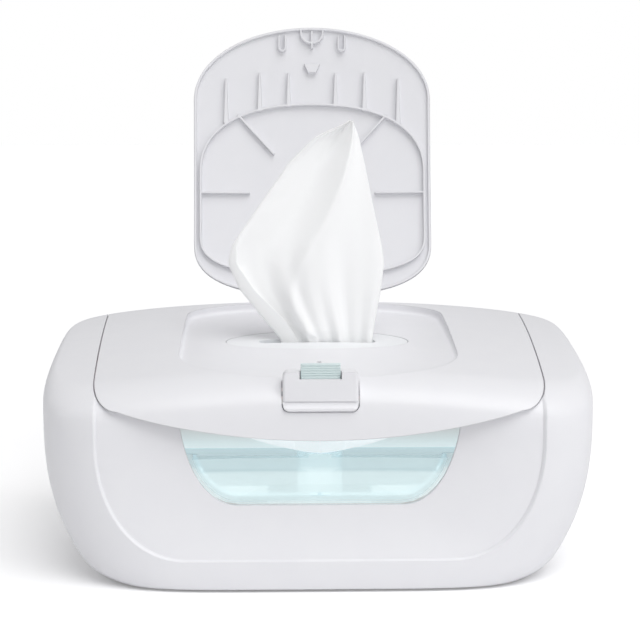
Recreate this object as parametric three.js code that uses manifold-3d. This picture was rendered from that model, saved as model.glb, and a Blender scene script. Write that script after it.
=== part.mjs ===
// Wipe warmer: a heated tub for baby wipes with a hinged main lid, and in it a flip lid on a push button.
// Millimetres, +Z up, the front faces -Y. Shown as it is used: main lid shut, flip lid open, one wipe drawn up.
import * as THREE from "three";
import { mergeVertices } from "three/addons/utils/BufferGeometryUtils.js";
import Module from "manifold-3d";

const wasm = await Module();
wasm.setup();

// Outer form
const BODY_WIDTH = 304;
const BODY_DEPTH = 196;
const BODY_HEIGHT = 129;
const BELLY_HEIGHT = 106; // height at which the body is widest
const SIDE_TAPER = 27; // how far each side draws in from the belly to the base
const SIDE_TAPER_POWER = 2.6;
const FACE_TAPER = 5; // how far the front leans back above the belly
const FOOT_HEIGHT = 15; // height of the round at the foot of each side
const SIDE_FOOT = 15;
const FACE_FOOT = 2;
const SHOULDER_HEIGHT = 14;
const SIDE_SHOULDER = 6;
const FRONT_SHOULDER = 19;
const BACK_SHOULDER = 6;
const PLAN_POWER = 5.5; // squareness of the plan
const CROWN_SIDE_DROP = 6.2;
const CROWN_SIDE_REACH = 125;
const CROWN_FRONT_DROP = 13.5;
const CROWN_CORNER_DROP = 4.5;
const CROWN_FRONT_POWER = 2.2;
const CROWN_BACK_Y = 85; // in front of this the crown slopes down to the face
const FLOOR_GAP = 1.5; // height of the shell's lower edge above the table

// Walls and clearances
const WALL = 2.6;
const SEAM = 0.6; // gap all round the main lid
const SEAT = 0.3; // gap between pieces that rest on each other
const PLAY = 0.5; // gap beside a piece that moves

// Main lid
const LID_HALF_FRONT = 120;
const LID_HALF_BACK = 128;
const LID_EDGE_Z = 82.6; // lowest point of the lid's front edge
const LID_EDGE_RISE = 15.4;
const LID_EDGE_REACH = 109;
const LID_BACK_Z = 100;
const LID_CORNER = 13;
const LINER_THICK = 2.4;
const SEAL_WIDTH = 4;
const SEAL_HEIGHT = 2;
const SEAL_INSET = 16;

// Scoop and window in the front
const CREASE_HALF = 120;
const CREASE_TOP = 80;
const CREASE_BOTTOM = 17;
const CREASE_FLAT = 72;
const SCOOP_DEPTH = 11;
const WINDOW_HALF = 76;
const WINDOW_TOP = 111; // hidden above the lid's edge
const WINDOW_BOTTOM = 45.7;
const WINDOW_FLAT = 44;
const PANE_THICK = 1.6;
const PANE_LAP = 4;

// Flip lid and the recess that it closes into
const FLIP_WIDTH = 151;
const FLIP_LENGTH = 172;
const FLIP_THICK = 2.4;
const FLIP_BACK_Y = 86;
const FLIP_ARCH = 46; // length of the rounded free end
const FLIP_HEEL = 34; // length of the rounded hinge end
const FLIP_RIB = 2.8;
const FLIP_OPEN_DEG = 106;
const RECESS_PLAY = 1.8;
const RECESS_DEPTH_BACK = 5;
const RECESS_DEPTH_FRONT = 1.5;
const RIB_THICK = 1.3;
const RING_INSET = 3.6;
const RING_FROM_FREE_END = 48.5;
const RING_FROM_HINGE = 13;

// Hinges
const FLIP_AXIS_Y = 97;
const FLIP_AXIS_Z = 121.5;
const MAIN_AXIS_Y = 103.5;
const MAIN_AXIS_Z = 108;
const PIN_RADIUS = 1.6;
const KNUCKLE_RADIUS = 4;
const FLIP_ARM_X = 28;
const FLIP_ARM_WIDTH = 12;
const MAIN_ARM_X = 76;
const MAIN_ARM_WIDTH = 8;
const LUG_WIDTH = 6;

// Latch and button
const TAB_HALF = 20;
const TAB_BOTTOM = 98.5;
const TAB_TOP = 119.2;
const TAB_FRONT_Y = -97.2;
const TAB_BACK_Y = -88.2;
const TAB_SILL = 115.5; // top of the tab's face below the button
const TAB_THICK = 3;
const TAB_TOWER = 103.5; // foot of the block that stands up for the button
const TAB_AXIS_Y = -90.3;
const TAB_AXIS_Z = 106.5;
const TAB_CORNER = 4;
const TRUNNION_RADIUS = 1.3;
const TRUNNION_LENGTH = 2.6;
const HOOK_HALF = 7;
const HOOK_BOTTOM = 86;
const HOOK_THICK = 2.2;
const HOOK_NOSE = 2.4;
const STRIKE_HALF = 9;
const STRIKE_TOP = 91;
const STRIKE_Y = -87.2; // front of the lip that the hook catches
const BUTTON_HALF = 10.5;
const BUTTON_TOP = 123.4;
const BUTTON_BOTTOM = 111;
const BUTTON_TRAVEL = 2.5;
const BUTTON_DEPTH = 2.6;
const BUTTON_SET_BACK = 1.8;
const BUTTON_GROOVE = 1.3;
const BUTTON_FLOOR = BUTTON_BOTTOM - BUTTON_TRAVEL - PLAY;

// Dispensing mouth and the wipe
const MOUTH_Y = -11;
const MOUTH_HALF_X = 52;
const MOUTH_HALF_Y = 22;
const SLOT_HALF_X = 33;
const SLOT_HALF_Y = 4;
const SLOT_Y = -14;
const INSERT_THICK = 2;
const INSERT_GAP = 0.8;
const WIPE_TOP = 246;
const WIPE_THICK = 6.8;

// Tub, tray and heater
const TUB_HALF_X = 112;
const TUB_FRONT_Y = -76;
const TUB_BACK_Y = 78;
const TUB_CORNER = 22;
const TUB_FLOOR = 37;
const TUB_WALL = 2;
const TRAY_RIM = 70;
const TRAY_WALL = 1.8;
const TRAY_GAP = 1;
const BAND_HEIGHT = 7.5;
const PROW_HALF = 12;
const POST_TOP = 72;
const LEDGE_TOP = 52.5;
const LEDGE_IN = 28;
const LEDGE_OUT = 54;
const CATCH_BOTTOM = 72.5;
const CATCH_HALF = 13.5;
const CATCH_WING = 44;
const HEATER_HALF_X = 92;
const HEATER_HALF_Y = 56;
const HEATER_THICK = 1.5;
const PAD_THICK = 1.2;
const FELT_THICK = 4;

// Base
const BASE_THICK = 2.6;
const BASE_Z = 2.2;
const FOOT_RADIUS = 8;
const FOOT_X = 98;
const FOOT_Y = 66;
const POST_RADIUS = 4.5;
const POST_X = 82;
const POST_Y = 46;
const POST_TOP_GAP = 0.3;
const SCREW_RADIUS = 1.5;
const SCREW_HEAD = 3.2;
const SCREW_LENGTH = 12;
const BOARD_Z = 12;
const BOARD_THICK = 1.6;
const BOARD_HALF_X = 28;
const BOARD_HALF_Y = 18;
const BOARD_Y = 50;
const THERMOSTAT_RADIUS = 8;
const THERMOSTAT_X = 34;
const JACK_Z = 24;
const JACK_HALF = 6;
const JACK_RADIUS = 4.6;

const RING_STEPS = 48;
const INNER_STEPS = 24;

// Solids from geometry, and back

function solid(geometry) {
  const bare = geometry.clone();
  bare.deleteAttribute("normal");
  bare.deleteAttribute("uv");
  const merged = mergeVertices(bare, 1e-4);
  return new wasm.Manifold(
    new wasm.Mesh({
      numProp: 3,
      vertProperties: merged.attributes.position.array,
      triVerts: new Uint32Array(merged.index.array),
    }),
  );
}

function geometryOf(shape) {
  const mesh = shape.getMesh();
  const positions = new Float32Array(mesh.numVert * 3);
  for (let i = 0; i < mesh.numVert; i++) {
    positions.set(mesh.vertProperties.subarray(i * mesh.numProp, i * mesh.numProp + 3), i * 3);
  }
  const geometry = new THREE.BufferGeometry();
  geometry.setAttribute("position", new THREE.BufferAttribute(positions, 3));
  geometry.setIndex(new THREE.BufferAttribute(mesh.triVerts, 1));
  geometry.computeVertexNormals();
  return geometry;
}

const join = (...shapes) => shapes.reduce((a, b) => a.add(b));

function box(x0, x1, y0, y1, z0, z1) {
  const geometry = new THREE.BoxGeometry(x1 - x0, y1 - y0, z1 - z0);
  return solid(geometry.translate((x0 + x1) / 2, (y0 + y1) / 2, (z0 + z1) / 2));
}

function rodX(x0, x1, y, z, radius, steps = 20) {
  const geometry = new THREE.CylinderGeometry(radius, radius, x1 - x0, steps);
  return solid(geometry.rotateZ(Math.PI / 2).translate((x0 + x1) / 2, y, z));
}

function rodZ(x, y, z0, z1, radius, steps = 20) {
  const geometry = new THREE.CylinderGeometry(radius, radius, z1 - z0, steps);
  return solid(geometry.rotateX(Math.PI / 2).translate(x, y, (z0 + z1) / 2));
}

const plain = (depth, curveSegments = 6) => ({ depth, bevelEnabled: false, curveSegments });

// A plan outline pulled up along Z, a front outline along Y, a side outline along X.
function prismZ(shape, z0, z1, steps) {
  return solid(new THREE.ExtrudeGeometry(shape, plain(z1 - z0, steps)).translate(0, 0, z0));
}

function prismY(shape, y0, y1, steps) {
  const geometry = new THREE.ExtrudeGeometry(shape, plain(y1 - y0, steps));
  return solid(geometry.rotateX(Math.PI / 2).translate(0, y1, 0));
}

function prismX(shape, x0, x1, steps) {
  const geometry = new THREE.ExtrudeGeometry(shape, plain(x1 - x0, steps));
  const turn = new THREE.Matrix4().makeBasis(
    new THREE.Vector3(0, 1, 0),
    new THREE.Vector3(0, 0, 1),
    new THREE.Vector3(1, 0, 0),
  );
  return solid(geometry.applyMatrix4(turn).translate(x0, 0, 0));
}

const polygon = (points) => new THREE.Shape(points.map(([a, b]) => new THREE.Vector2(a, b)));

// Rings of equal count joined in order and closed by a fan at both ends, with its faces turned outwards.
function loft(rings) {
  const count = rings[0].length;
  const positions = rings.flat(2);
  const index = [];
  for (let k = 0; k + 1 < rings.length; k++) {
    for (let i = 0; i < count; i++) {
      const j = (i + 1) % count;
      const [a, b, c, d] = [k * count + i, k * count + j, (k + 1) * count + j, (k + 1) * count + i];
      index.push(a, b, c, a, c, d);
    }
  }
  const centre = (ring) => [0, 1, 2].map((axis) => ring.reduce((sum, p) => sum + p[axis], 0) / count);
  const first = positions.length / 3;
  positions.push(...centre(rings[0]), ...centre(rings.at(-1)));
  const top = (rings.length - 1) * count;
  for (let i = 0; i < count; i++) {
    const j = (i + 1) % count;
    index.push(first, j, i, first + 1, top + i, top + j);
  }
  const facing = (order) => {
    const geometry = new THREE.BufferGeometry();
    geometry.setAttribute("position", new THREE.BufferAttribute(new Float32Array(positions), 3));
    return solid(geometry.setIndex(order));
  };
  const made = facing(index);
  return made.volume() > 0 ? made : facing(index.reverse());
}

// The body of a cut shape that holds most, without the offcuts.
const largest = (shape) => shape.decompose().reduce((a, b) => (b.volume() > a.volume() ? b : a));

// Outlines

const lobe = (part, power) => Math.sign(part) * Math.abs(part) ** (2 / power);

// A closed plan outline as points: straight sides, a rounded end towards -Y and another towards +Y.
function archOutline(half, front, back, frontLength, backLength, frontPower, backPower, steps) {
  const points = [];
  for (let i = 0; i <= steps; i++) {
    const a = (Math.PI * i) / steps;
    const x = half * lobe(Math.cos(a), backPower);
    points.push([x, back - backLength + backLength * lobe(Math.sin(a), backPower)]);
  }
  for (let i = 0; i <= steps; i++) {
    const a = Math.PI + (Math.PI * i) / steps;
    const x = half * lobe(Math.cos(a), frontPower);
    points.push([x, front + frontLength + frontLength * lobe(Math.sin(a), frontPower)]);
  }
  return points;
}

const FLIP_FRONT_Y = FLIP_BACK_Y - FLIP_LENGTH;

function flipOutline(grow, steps = 12) {
  return archOutline(
    FLIP_WIDTH / 2 + grow,
    FLIP_FRONT_Y - grow,
    FLIP_BACK_Y + grow,
    FLIP_ARCH + grow,
    FLIP_HEEL + grow,
    2,
    2.6,
    steps,
  );
}

function ringOutline(grow) {
  return archOutline(
    FLIP_WIDTH / 2 - RING_INSET + grow,
    FLIP_FRONT_Y + RING_FROM_FREE_END - grow,
    FLIP_BACK_Y - RING_FROM_HINGE + grow,
    44 + grow,
    26 + grow,
    2.3,
    2.8,
    11,
  );
}

function ellipse(halfX, halfY, centreY, steps = 28) {
  const points = [];
  for (let i = 0; i < steps; i++) {
    const a = (2 * Math.PI * i) / steps;
    points.push([halfX * Math.cos(a), centreY + halfY * Math.sin(a)]);
  }
  return points;
}

function roundedBox(halfX, front, back, corner, steps = 4) {
  const points = [];
  const corners = [
    [halfX - corner, back - corner, 0],
    [-halfX + corner, back - corner, 90],
    [-halfX + corner, front + corner, 180],
    [halfX - corner, front + corner, 270],
  ];
  for (const [x, y, from] of corners) {
    for (let i = 0; i <= steps; i++) {
      const a = ((from + (90 * i) / steps) * Math.PI) / 180;
      points.push([x + corner * Math.cos(a), y + corner * Math.sin(a)]);
    }
  }
  return points;
}

// The body's outer form

// Height of the crown over a plan point: it falls to the sides and more to the front.
function crown(x, y) {
  const forward = Math.max(0, (CROWN_BACK_Y - y) / (CROWN_BACK_Y + BODY_DEPTH / 2 - 10)) ** CROWN_FRONT_POWER;
  const side = (x / CROWN_SIDE_REACH) ** 2;
  return BODY_HEIGHT - CROWN_SIDE_DROP * side - (CROWN_FRONT_DROP + CROWN_CORNER_DROP * side) * forward;
}

// Half width, half depth and centre of the body's plan at a height.
function planAt(z) {
  const low = Math.max(0, (BELLY_HEIGHT - z) / BELLY_HEIGHT) ** SIDE_TAPER_POWER;
  const high = Math.max(0, (z - BELLY_HEIGHT) / (BODY_HEIGHT - BELLY_HEIGHT)) ** 2;
  const quarter = (part) => 1 - Math.sqrt(1 - Math.min(1, Math.max(0, part)) ** 2);
  const foot = quarter((FOOT_HEIGHT - z) / FOOT_HEIGHT);
  const shoulder = quarter((z - BODY_HEIGHT + SHOULDER_HEIGHT) / SHOULDER_HEIGHT);
  const front = BODY_DEPTH / 2 - FACE_TAPER * high - FACE_FOOT * foot - FRONT_SHOULDER * shoulder;
  const back = BODY_DEPTH / 2 - FACE_FOOT * foot - BACK_SHOULDER * shoulder;
  return {
    halfX: BODY_WIDTH / 2 - SIDE_TAPER * low - SIDE_FOOT * foot - SIDE_SHOULDER * shoulder,
    halfY: (front + back) / 2,
    centreY: (back - front) / 2,
  };
}

const SHOULDER_FOOT = BODY_HEIGHT - SHOULDER_HEIGHT;
const FOOT_LEVELS = [0, 0.08, 0.35, 1].map((part) => part * FOOT_HEIGHT);
const SIDE_LEVELS = [0.35, 0.68, 1].map((part) => FOOT_HEIGHT + part * (SHOULDER_FOOT - FOOT_HEIGHT));
const SHOULDER_LEVELS = [0.45, 0.75, 0.93, 1].map((part) => SHOULDER_FOOT + part * SHOULDER_HEIGHT);
const CROWN_RINGS = [0.8, 0.55, 0.28];

// The outer form drawn in by an inset, as a solid from below the table up to the crown.
function envelope(inset, steps = RING_STEPS) {
  const ringOf = (z, scale) => {
    const { halfX, halfY, centreY } = planAt(z);
    const ring = [];
    for (let i = 0; i < steps; i++) {
      const a = (2 * Math.PI * i) / steps;
      const x = scale * (halfX - inset) * lobe(Math.cos(a), PLAN_POWER);
      const y = centreY + scale * (halfY - inset) * lobe(Math.sin(a), PLAN_POWER);
      ring.push([x, y, (z / BODY_HEIGHT) * (crown(x, y) - inset)]);
    }
    return ring;
  };
  const levels = [...FOOT_LEVELS, ...SIDE_LEVELS, ...SHOULDER_LEVELS];
  const rings = levels.map((z) => ringOf(z, 1));
  const capped = CROWN_RINGS.map((scale) => ringOf(BODY_HEIGHT, scale));
  return loft([...rings, ...capped]);
}

// A plan outline filled between two height functions, its rings drawn in towards the centre.
function pad(outline, low, high, scales = [1, 0.7, 0.35]) {
  const count = outline.length;
  const cx = outline.reduce((sum, p) => sum + p[0], 0) / count;
  const cy = outline.reduce((sum, p) => sum + p[1], 0) / count;
  const ring = (scale, height) =>
    outline.map(([x, y]) => {
      const [px, py] = [cx + scale * (x - cx), cy + scale * (y - cy)];
      return [px, py, height(px, py)];
    });
  const lower = [...scales].reverse().map((scale) => ring(scale, low));
  return loft([...lower, ...scales.map((scale) => ring(scale, high))]);
}

// Main lid parting: the surface under the lid, and the zone of the body above it

function partingZ(x, y) {
  const back = (y + BODY_DEPTH / 2) / BODY_DEPTH;
  const front = LID_EDGE_Z + LID_EDGE_RISE * (x / LID_EDGE_REACH) ** 2;
  return front + (LID_BACK_Z - front) * Math.min(1, Math.max(0, back)) ** 1.5;
}

// Front-on section of the lid zone at a depth, its sides grown outwards and its floor dropped.
function lidSection(y, grow, drop) {
  const back = (y + BODY_DEPTH / 2) / BODY_DEPTH;
  const half = LID_HALF_FRONT + (LID_HALF_BACK - LID_HALF_FRONT) * back + grow;
  const turn = half - LID_CORNER;
  const floor = (x) => partingZ(x, y) - drop;
  const points = [];
  for (let i = 0; i <= 4; i++) {
    const a = (Math.PI / 2) * (i / 4);
    points.push([-turn - LID_CORNER * Math.cos(a), y, floor(turn) + LID_CORNER * (1 - Math.sin(a))]);
  }
  for (let i = 1; i < 8; i++) {
    const x = -turn + (2 * turn * i) / 8;
    points.push([x, y, floor(x)]);
  }
  for (let i = 4; i >= 0; i--) {
    const a = (Math.PI / 2) * (i / 4);
    points.push([turn + LID_CORNER * Math.cos(a), y, floor(turn) + LID_CORNER * (1 - Math.sin(a))]);
  }
  points.push([half, y, BODY_HEIGHT + 30], [-half, y, BODY_HEIGHT + 30]);
  return points.reverse();
}

const lidZone = (grow, drop = grow) => loft([-115, -60, 0, 60, 115].map((y) => lidSection(y, grow, drop)));

// The scoop in the front: inside the crease the face dishes in towards the window.

function creaseOutline(grow, top) {
  const half = CREASE_HALF + grow;
  const bottom = CREASE_BOTTOM - grow;
  const shape = new THREE.Shape();
  const heights = [0.66, 0.33, 0].map((part) => CREASE_TOP + part * (top - CREASE_TOP));
  shape.moveTo(-half, top);
  for (const z of heights) shape.lineTo(-half, z);
  shape.bezierCurveTo(-half, 42, -99 - grow, bottom, -CREASE_FLAT, bottom);
  for (const part of [-0.33, 0.33, 1]) shape.lineTo(part * CREASE_FLAT, bottom);
  shape.bezierCurveTo(99 + grow, bottom, half, 42, half, CREASE_TOP);
  for (const z of [...heights].reverse().slice(1)) shape.lineTo(half, z);
  shape.lineTo(half, top);
  for (const part of [0.5, 0, -0.5]) shape.lineTo(part * half, top);
  return shape.getPoints(6).map((p) => [p.x, p.y]);
}

// Front face of the body over a front-on point, found on the outer form by halving.
function faceY(x, z) {
  let [low, high] = [0, BODY_HEIGHT - 0.5];
  const yAt = (level) => {
    const { halfX, halfY, centreY } = planAt(level);
    const part = Math.max(0, 1 - Math.abs(x / halfX) ** PLAN_POWER);
    return centreY - halfY * part ** (1 / PLAN_POWER);
  };
  for (let i = 0; i < 30; i++) {
    const middle = (low + high) / 2;
    const height = (middle / BODY_HEIGHT) * crown(x, yAt(middle));
    if (height < z) low = middle;
    else high = middle;
  }
  return yAt((low + high) / 2);
}

const SCOOP_CENTRE_Z = 84;

function scoop(grow, depth, scales = [0.75, 0.4]) {
  const outline = creaseOutline(grow, BODY_HEIGHT - 12);
  const surface = (scale) =>
    outline.map(([x, z]) => {
      const [px, pz] = [scale * x, SCOOP_CENTRE_Z + scale * (z - SCOOP_CENTRE_Z)];
      const dish = depth * (1 - scale ** 2.4);
      return [px, faceY(px, pz) + dish + (scale === 1 ? depth - SCOOP_DEPTH : 0), pz];
    });
  const front = outline.map(([x, z]) => [x, -BODY_DEPTH, z]);
  return loft([front, ...[1, ...scales].map(surface)]);
}

function windowOutline(grow) {
  const half = WINDOW_HALF + grow;
  const bottom = WINDOW_BOTTOM - grow;
  const shape = new THREE.Shape();
  shape.moveTo(-half, WINDOW_TOP);
  shape.bezierCurveTo(-half, 66, -60 - grow, bottom, -WINDOW_FLAT, bottom);
  shape.lineTo(WINDOW_FLAT, bottom);
  shape.bezierCurveTo(60 + grow, bottom, half, 66, half, WINDOW_TOP);
  return shape;
}

const PANEL_Y = -BODY_DEPTH / 2 + SCOOP_DEPTH + WALL;

// Shells

const outer = envelope(0);
const innerForm = envelope(WALL, INNER_STEPS);
const zone = lidZone(0);

// Inside of the lower shell, kept clear of the scoop's back.
function shellCavity(inset) {
  const behindScoop = scoop(WALL + inset, SCOOP_DEPTH + WALL + inset);
  return (inset ? envelope(WALL + inset, INNER_STEPS) : innerForm).subtract(behindScoop);
}

function housingLug(x) {
  const side = polygon([
    [93, 74],
    [MAIN_AXIS_Y + KNUCKLE_RADIUS, 92],
    [MAIN_AXIS_Y + KNUCKLE_RADIUS, MAIN_AXIS_Z],
    [MAIN_AXIS_Y - KNUCKLE_RADIUS, MAIN_AXIS_Z],
    [MAIN_AXIS_Y - KNUCKLE_RADIUS + 1.6, 100],
    [MAIN_AXIS_Y - KNUCKLE_RADIUS + 1.6, 96],
    [93, 94],
  ]);
  const plate = prismX(side, x - LUG_WIDTH / 2, x + LUG_WIDTH / 2);
  const boss = rodX(x - LUG_WIDTH / 2, x + LUG_WIDTH / 2, MAIN_AXIS_Y, MAIN_AXIS_Z, KNUCKLE_RADIUS);
  return join(plate, boss).subtract(innerForm);
}

const mainLugOffset = (MAIN_ARM_WIDTH + LUG_WIDTH) / 2 + PLAY;
const mainPinBore = rodX(-110, 110, MAIN_AXIS_Y, MAIN_AXIS_Z, PIN_RADIUS + SEAT);
const mirrored = [-1, 1];

function housing() {
  const shell = outer
    .subtract(scoop(0, SCOOP_DEPTH, [0.9, 0.72, 0.5, 0.25]))
    .subtract(shellCavity(0))
    .subtract(lidZone(SEAM))
    .subtract(box(-200, 200, -200, 200, -20, FLOOR_GAP))
    .subtract(prismZ(polygon(roundedBox(125, -70, 70, 40)), -5, 10));
  const lugs = mirrored.flatMap((side) =>
    mirrored.map((end) => housingLug(side * MAIN_ARM_X + end * mainLugOffset)),
  );
  const windowCut = prismY(windowOutline(0), -BODY_DEPTH, -40, 9);
  const jackHole = solid(
    new THREE.CylinderGeometry(JACK_RADIUS + SEAT, JACK_RADIUS + SEAT, 40, 20).translate(0, 90, JACK_Z),
  );
  return join(shell.subtract(windowCut).subtract(jackHole), ...lugs).subtract(mainPinBore);
}

function windowPane() {
  const blank = prismY(windowOutline(PANE_LAP), PANEL_Y - 8, PANEL_Y + 14, 9);
  const front = scoop(WALL + SEAT, SCOOP_DEPTH + WALL + SEAT);
  const back = scoop(WALL + SEAT + PANE_THICK, SCOOP_DEPTH + WALL + SEAT + PANE_THICK);
  return blank.intersect(back.subtract(front)).subtract(lidZone(SEAM + SEAT));
}

const hollowZone = lidZone(-WALL, 20);
const linerForm = envelope(WALL + SEAT, INNER_STEPS).intersect(lidZone(-WALL - SEAT, 20));

// Height of the recess floor over a plan point, and of the flip lid's underside when it is shut.
function floorZ(x, y) {
  const back = Math.min(1, Math.max(0, (y - FLIP_FRONT_Y) / FLIP_LENGTH));
  return crown(x, y) - RECESS_DEPTH_FRONT - (RECESS_DEPTH_BACK - RECESS_DEPTH_FRONT) * back;
}

const undersideZ = (x, y) => floorZ(x, y) + FLIP_RIB + PLAY;
const shifted = (height, by) => (x, y) => height(x, y) + by;

function flipLug(x) {
  const side = polygon([
    [88, 108],
    [96, 109],
    [FLIP_AXIS_Y + KNUCKLE_RADIUS, FLIP_AXIS_Z - 4],
    [FLIP_AXIS_Y + KNUCKLE_RADIUS, FLIP_AXIS_Z],
    [88, FLIP_AXIS_Z],
  ]);
  const plate = prismX(side, x - LUG_WIDTH / 2, x + LUG_WIDTH / 2);
  const boss = rodX(x - LUG_WIDTH / 2, x + LUG_WIDTH / 2, FLIP_AXIS_Y, FLIP_AXIS_Z, KNUCKLE_RADIUS);
  return join(plate, boss);
}

function mainArm(x) {
  const side = polygon([
    [88, 102],
    [94, 101],
    [MAIN_AXIS_Y, MAIN_AXIS_Z - KNUCKLE_RADIUS],
    [MAIN_AXIS_Y, MAIN_AXIS_Z + KNUCKLE_RADIUS],
    [88, MAIN_AXIS_Z + 7],
  ]);
  const plate = prismX(side, x - MAIN_ARM_WIDTH / 2, x + MAIN_ARM_WIDTH / 2);
  const boss = rodX(
    x - MAIN_ARM_WIDTH / 2,
    x + MAIN_ARM_WIDTH / 2,
    MAIN_AXIS_Y,
    MAIN_AXIS_Z,
    KNUCKLE_RADIUS,
  );
  return join(plate, boss);
}

const flipLugOffset = (FLIP_ARM_WIDTH + LUG_WIDTH) / 2 + PLAY;
const trunnions = (grow) => {
  const reach = TAB_HALF + TRUNNION_LENGTH + grow;
  return rodX(-reach, reach, TAB_AXIS_Y, TAB_AXIS_Z, TRUNNION_RADIUS + grow, 12);
};
const tabNotch = box(
  -TAB_HALF - PLAY,
  TAB_HALF + PLAY,
  -120,
  TAB_BACK_Y + 1.5,
  TAB_BOTTOM - PLAY,
  160,
);

function mainLid() {
  const recessSkin = pad(flipOutline(RECESS_PLAY + WALL), shifted(floorZ, -WALL), () => 200);
  const cavity = innerForm.intersect(hollowZone).subtract(recessSkin);
  const recess = pad(flipOutline(RECESS_PLAY), floorZ, () => 220);
  const shell = outer.intersect(zone).subtract(cavity).subtract(recess);
  const cheeks = mirrored.map((side) => {
    const inner = side * (TAB_HALF + PLAY);
    const outerX = inner + side * (TRUNNION_LENGTH + 1.6);
    return box(Math.min(inner, outerX), Math.max(inner, outerX), -97, -84, 106, 125).intersect(outer);
  });
  const arms = mirrored.map((side) => mainArm(side * MAIN_ARM_X));
  const lugs = mirrored.flatMap((side) =>
    mirrored.map((end) => flipLug(side * FLIP_ARM_X + end * flipLugOffset)),
  );
  const notches = mirrored.map((side) => {
    const half = FLIP_ARM_WIDTH / 2 + PLAY;
    return box(side * FLIP_ARM_X - half, side * FLIP_ARM_X + half, 84, 120, FLIP_AXIS_Z - 5.5, 160);
  });
  const springRoom = box(-8.5, 8.5, FLIP_AXIS_Y - 4.4, 120, FLIP_AXIS_Z - 4.4, 160);
  const mouth = pad(ellipse(MOUTH_HALF_X, MOUTH_HALF_Y, MOUTH_Y), () => 90, () => 180, [1]);
  return join(shell, ...cheeks, ...arms, ...lugs)
    .subtract(tabNotch)
    .subtract(join(springRoom, ...notches))
    .subtract(mouth)
    .subtract(rodX(-60, 60, FLIP_AXIS_Y, FLIP_AXIS_Z, PIN_RADIUS + SEAT))
    .subtract(trunnions(SEAT))
    .subtract(rodZ(0, FLIP_FRONT_Y + 26.5, 90, 130, 1.3, 12))
    .subtract(mainPinBore);
}

// A flat ring all round the parting surface, its plan drawn in from the lid's edge.
function partingPad(outline, low, high) {
  return pad(outline, shifted(partingZ, low), shifted(partingZ, high));
}

const linerOutline = (grow) =>
  roundedBox(LID_HALF_FRONT - WALL - 1 + grow, -84 - grow, 86 + grow, 24 + grow);

function lidLiner() {
  const sheet = partingPad(linerOutline(0), SEAT, SEAT + LINER_THICK)
    .intersect(linerForm);
  const throat = pad(
    ellipse(MOUTH_HALF_X + 8, MOUTH_HALF_Y + 8, MOUTH_Y),
    () => 60,
    () => 180,
    [1],
  );
  const groove = sealRing(SEAT);
  const latchGap = box(-TAB_HALF - 3, TAB_HALF + 3, -100, -76, 60, 140);
  return sheet.subtract(throat).subtract(groove).subtract(latchGap);
}

function sealRing(grow) {
  const outside = partingPad(linerOutline(-SEAL_INSET + grow), -grow, SEAL_HEIGHT - SEAT + grow);
  const inside = partingPad(linerOutline(-SEAL_INSET - SEAL_WIDTH - grow), -20, 20);
  return outside.subtract(inside);
}

function dispensingInsert() {
  const plug = pad(
    ellipse(MOUTH_HALF_X - SEAT, MOUTH_HALF_Y - SEAT, MOUTH_Y),
    shifted(floorZ, -WALL - INSERT_THICK - INSERT_GAP),
    shifted(floorZ, -0.2),
    [1, 0.5],
  );
  const flange = pad(
    ellipse(MOUTH_HALF_X + 4, MOUTH_HALF_Y + 4, MOUTH_Y),
    shifted(floorZ, -WALL - INSERT_THICK - INSERT_GAP),
    shifted(floorZ, -WALL - INSERT_GAP),
    [1, 0.55],
  );
  const slot = prismZ(polygon(roundedBox(SLOT_HALF_X, SLOT_Y - SLOT_HALF_Y, SLOT_Y + SLOT_HALF_Y, 3.5)), 90, 160);
  return join(plug, flange).subtract(slot);
}

// Flip lid, modelled shut; its group turns it open about its pin.

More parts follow.
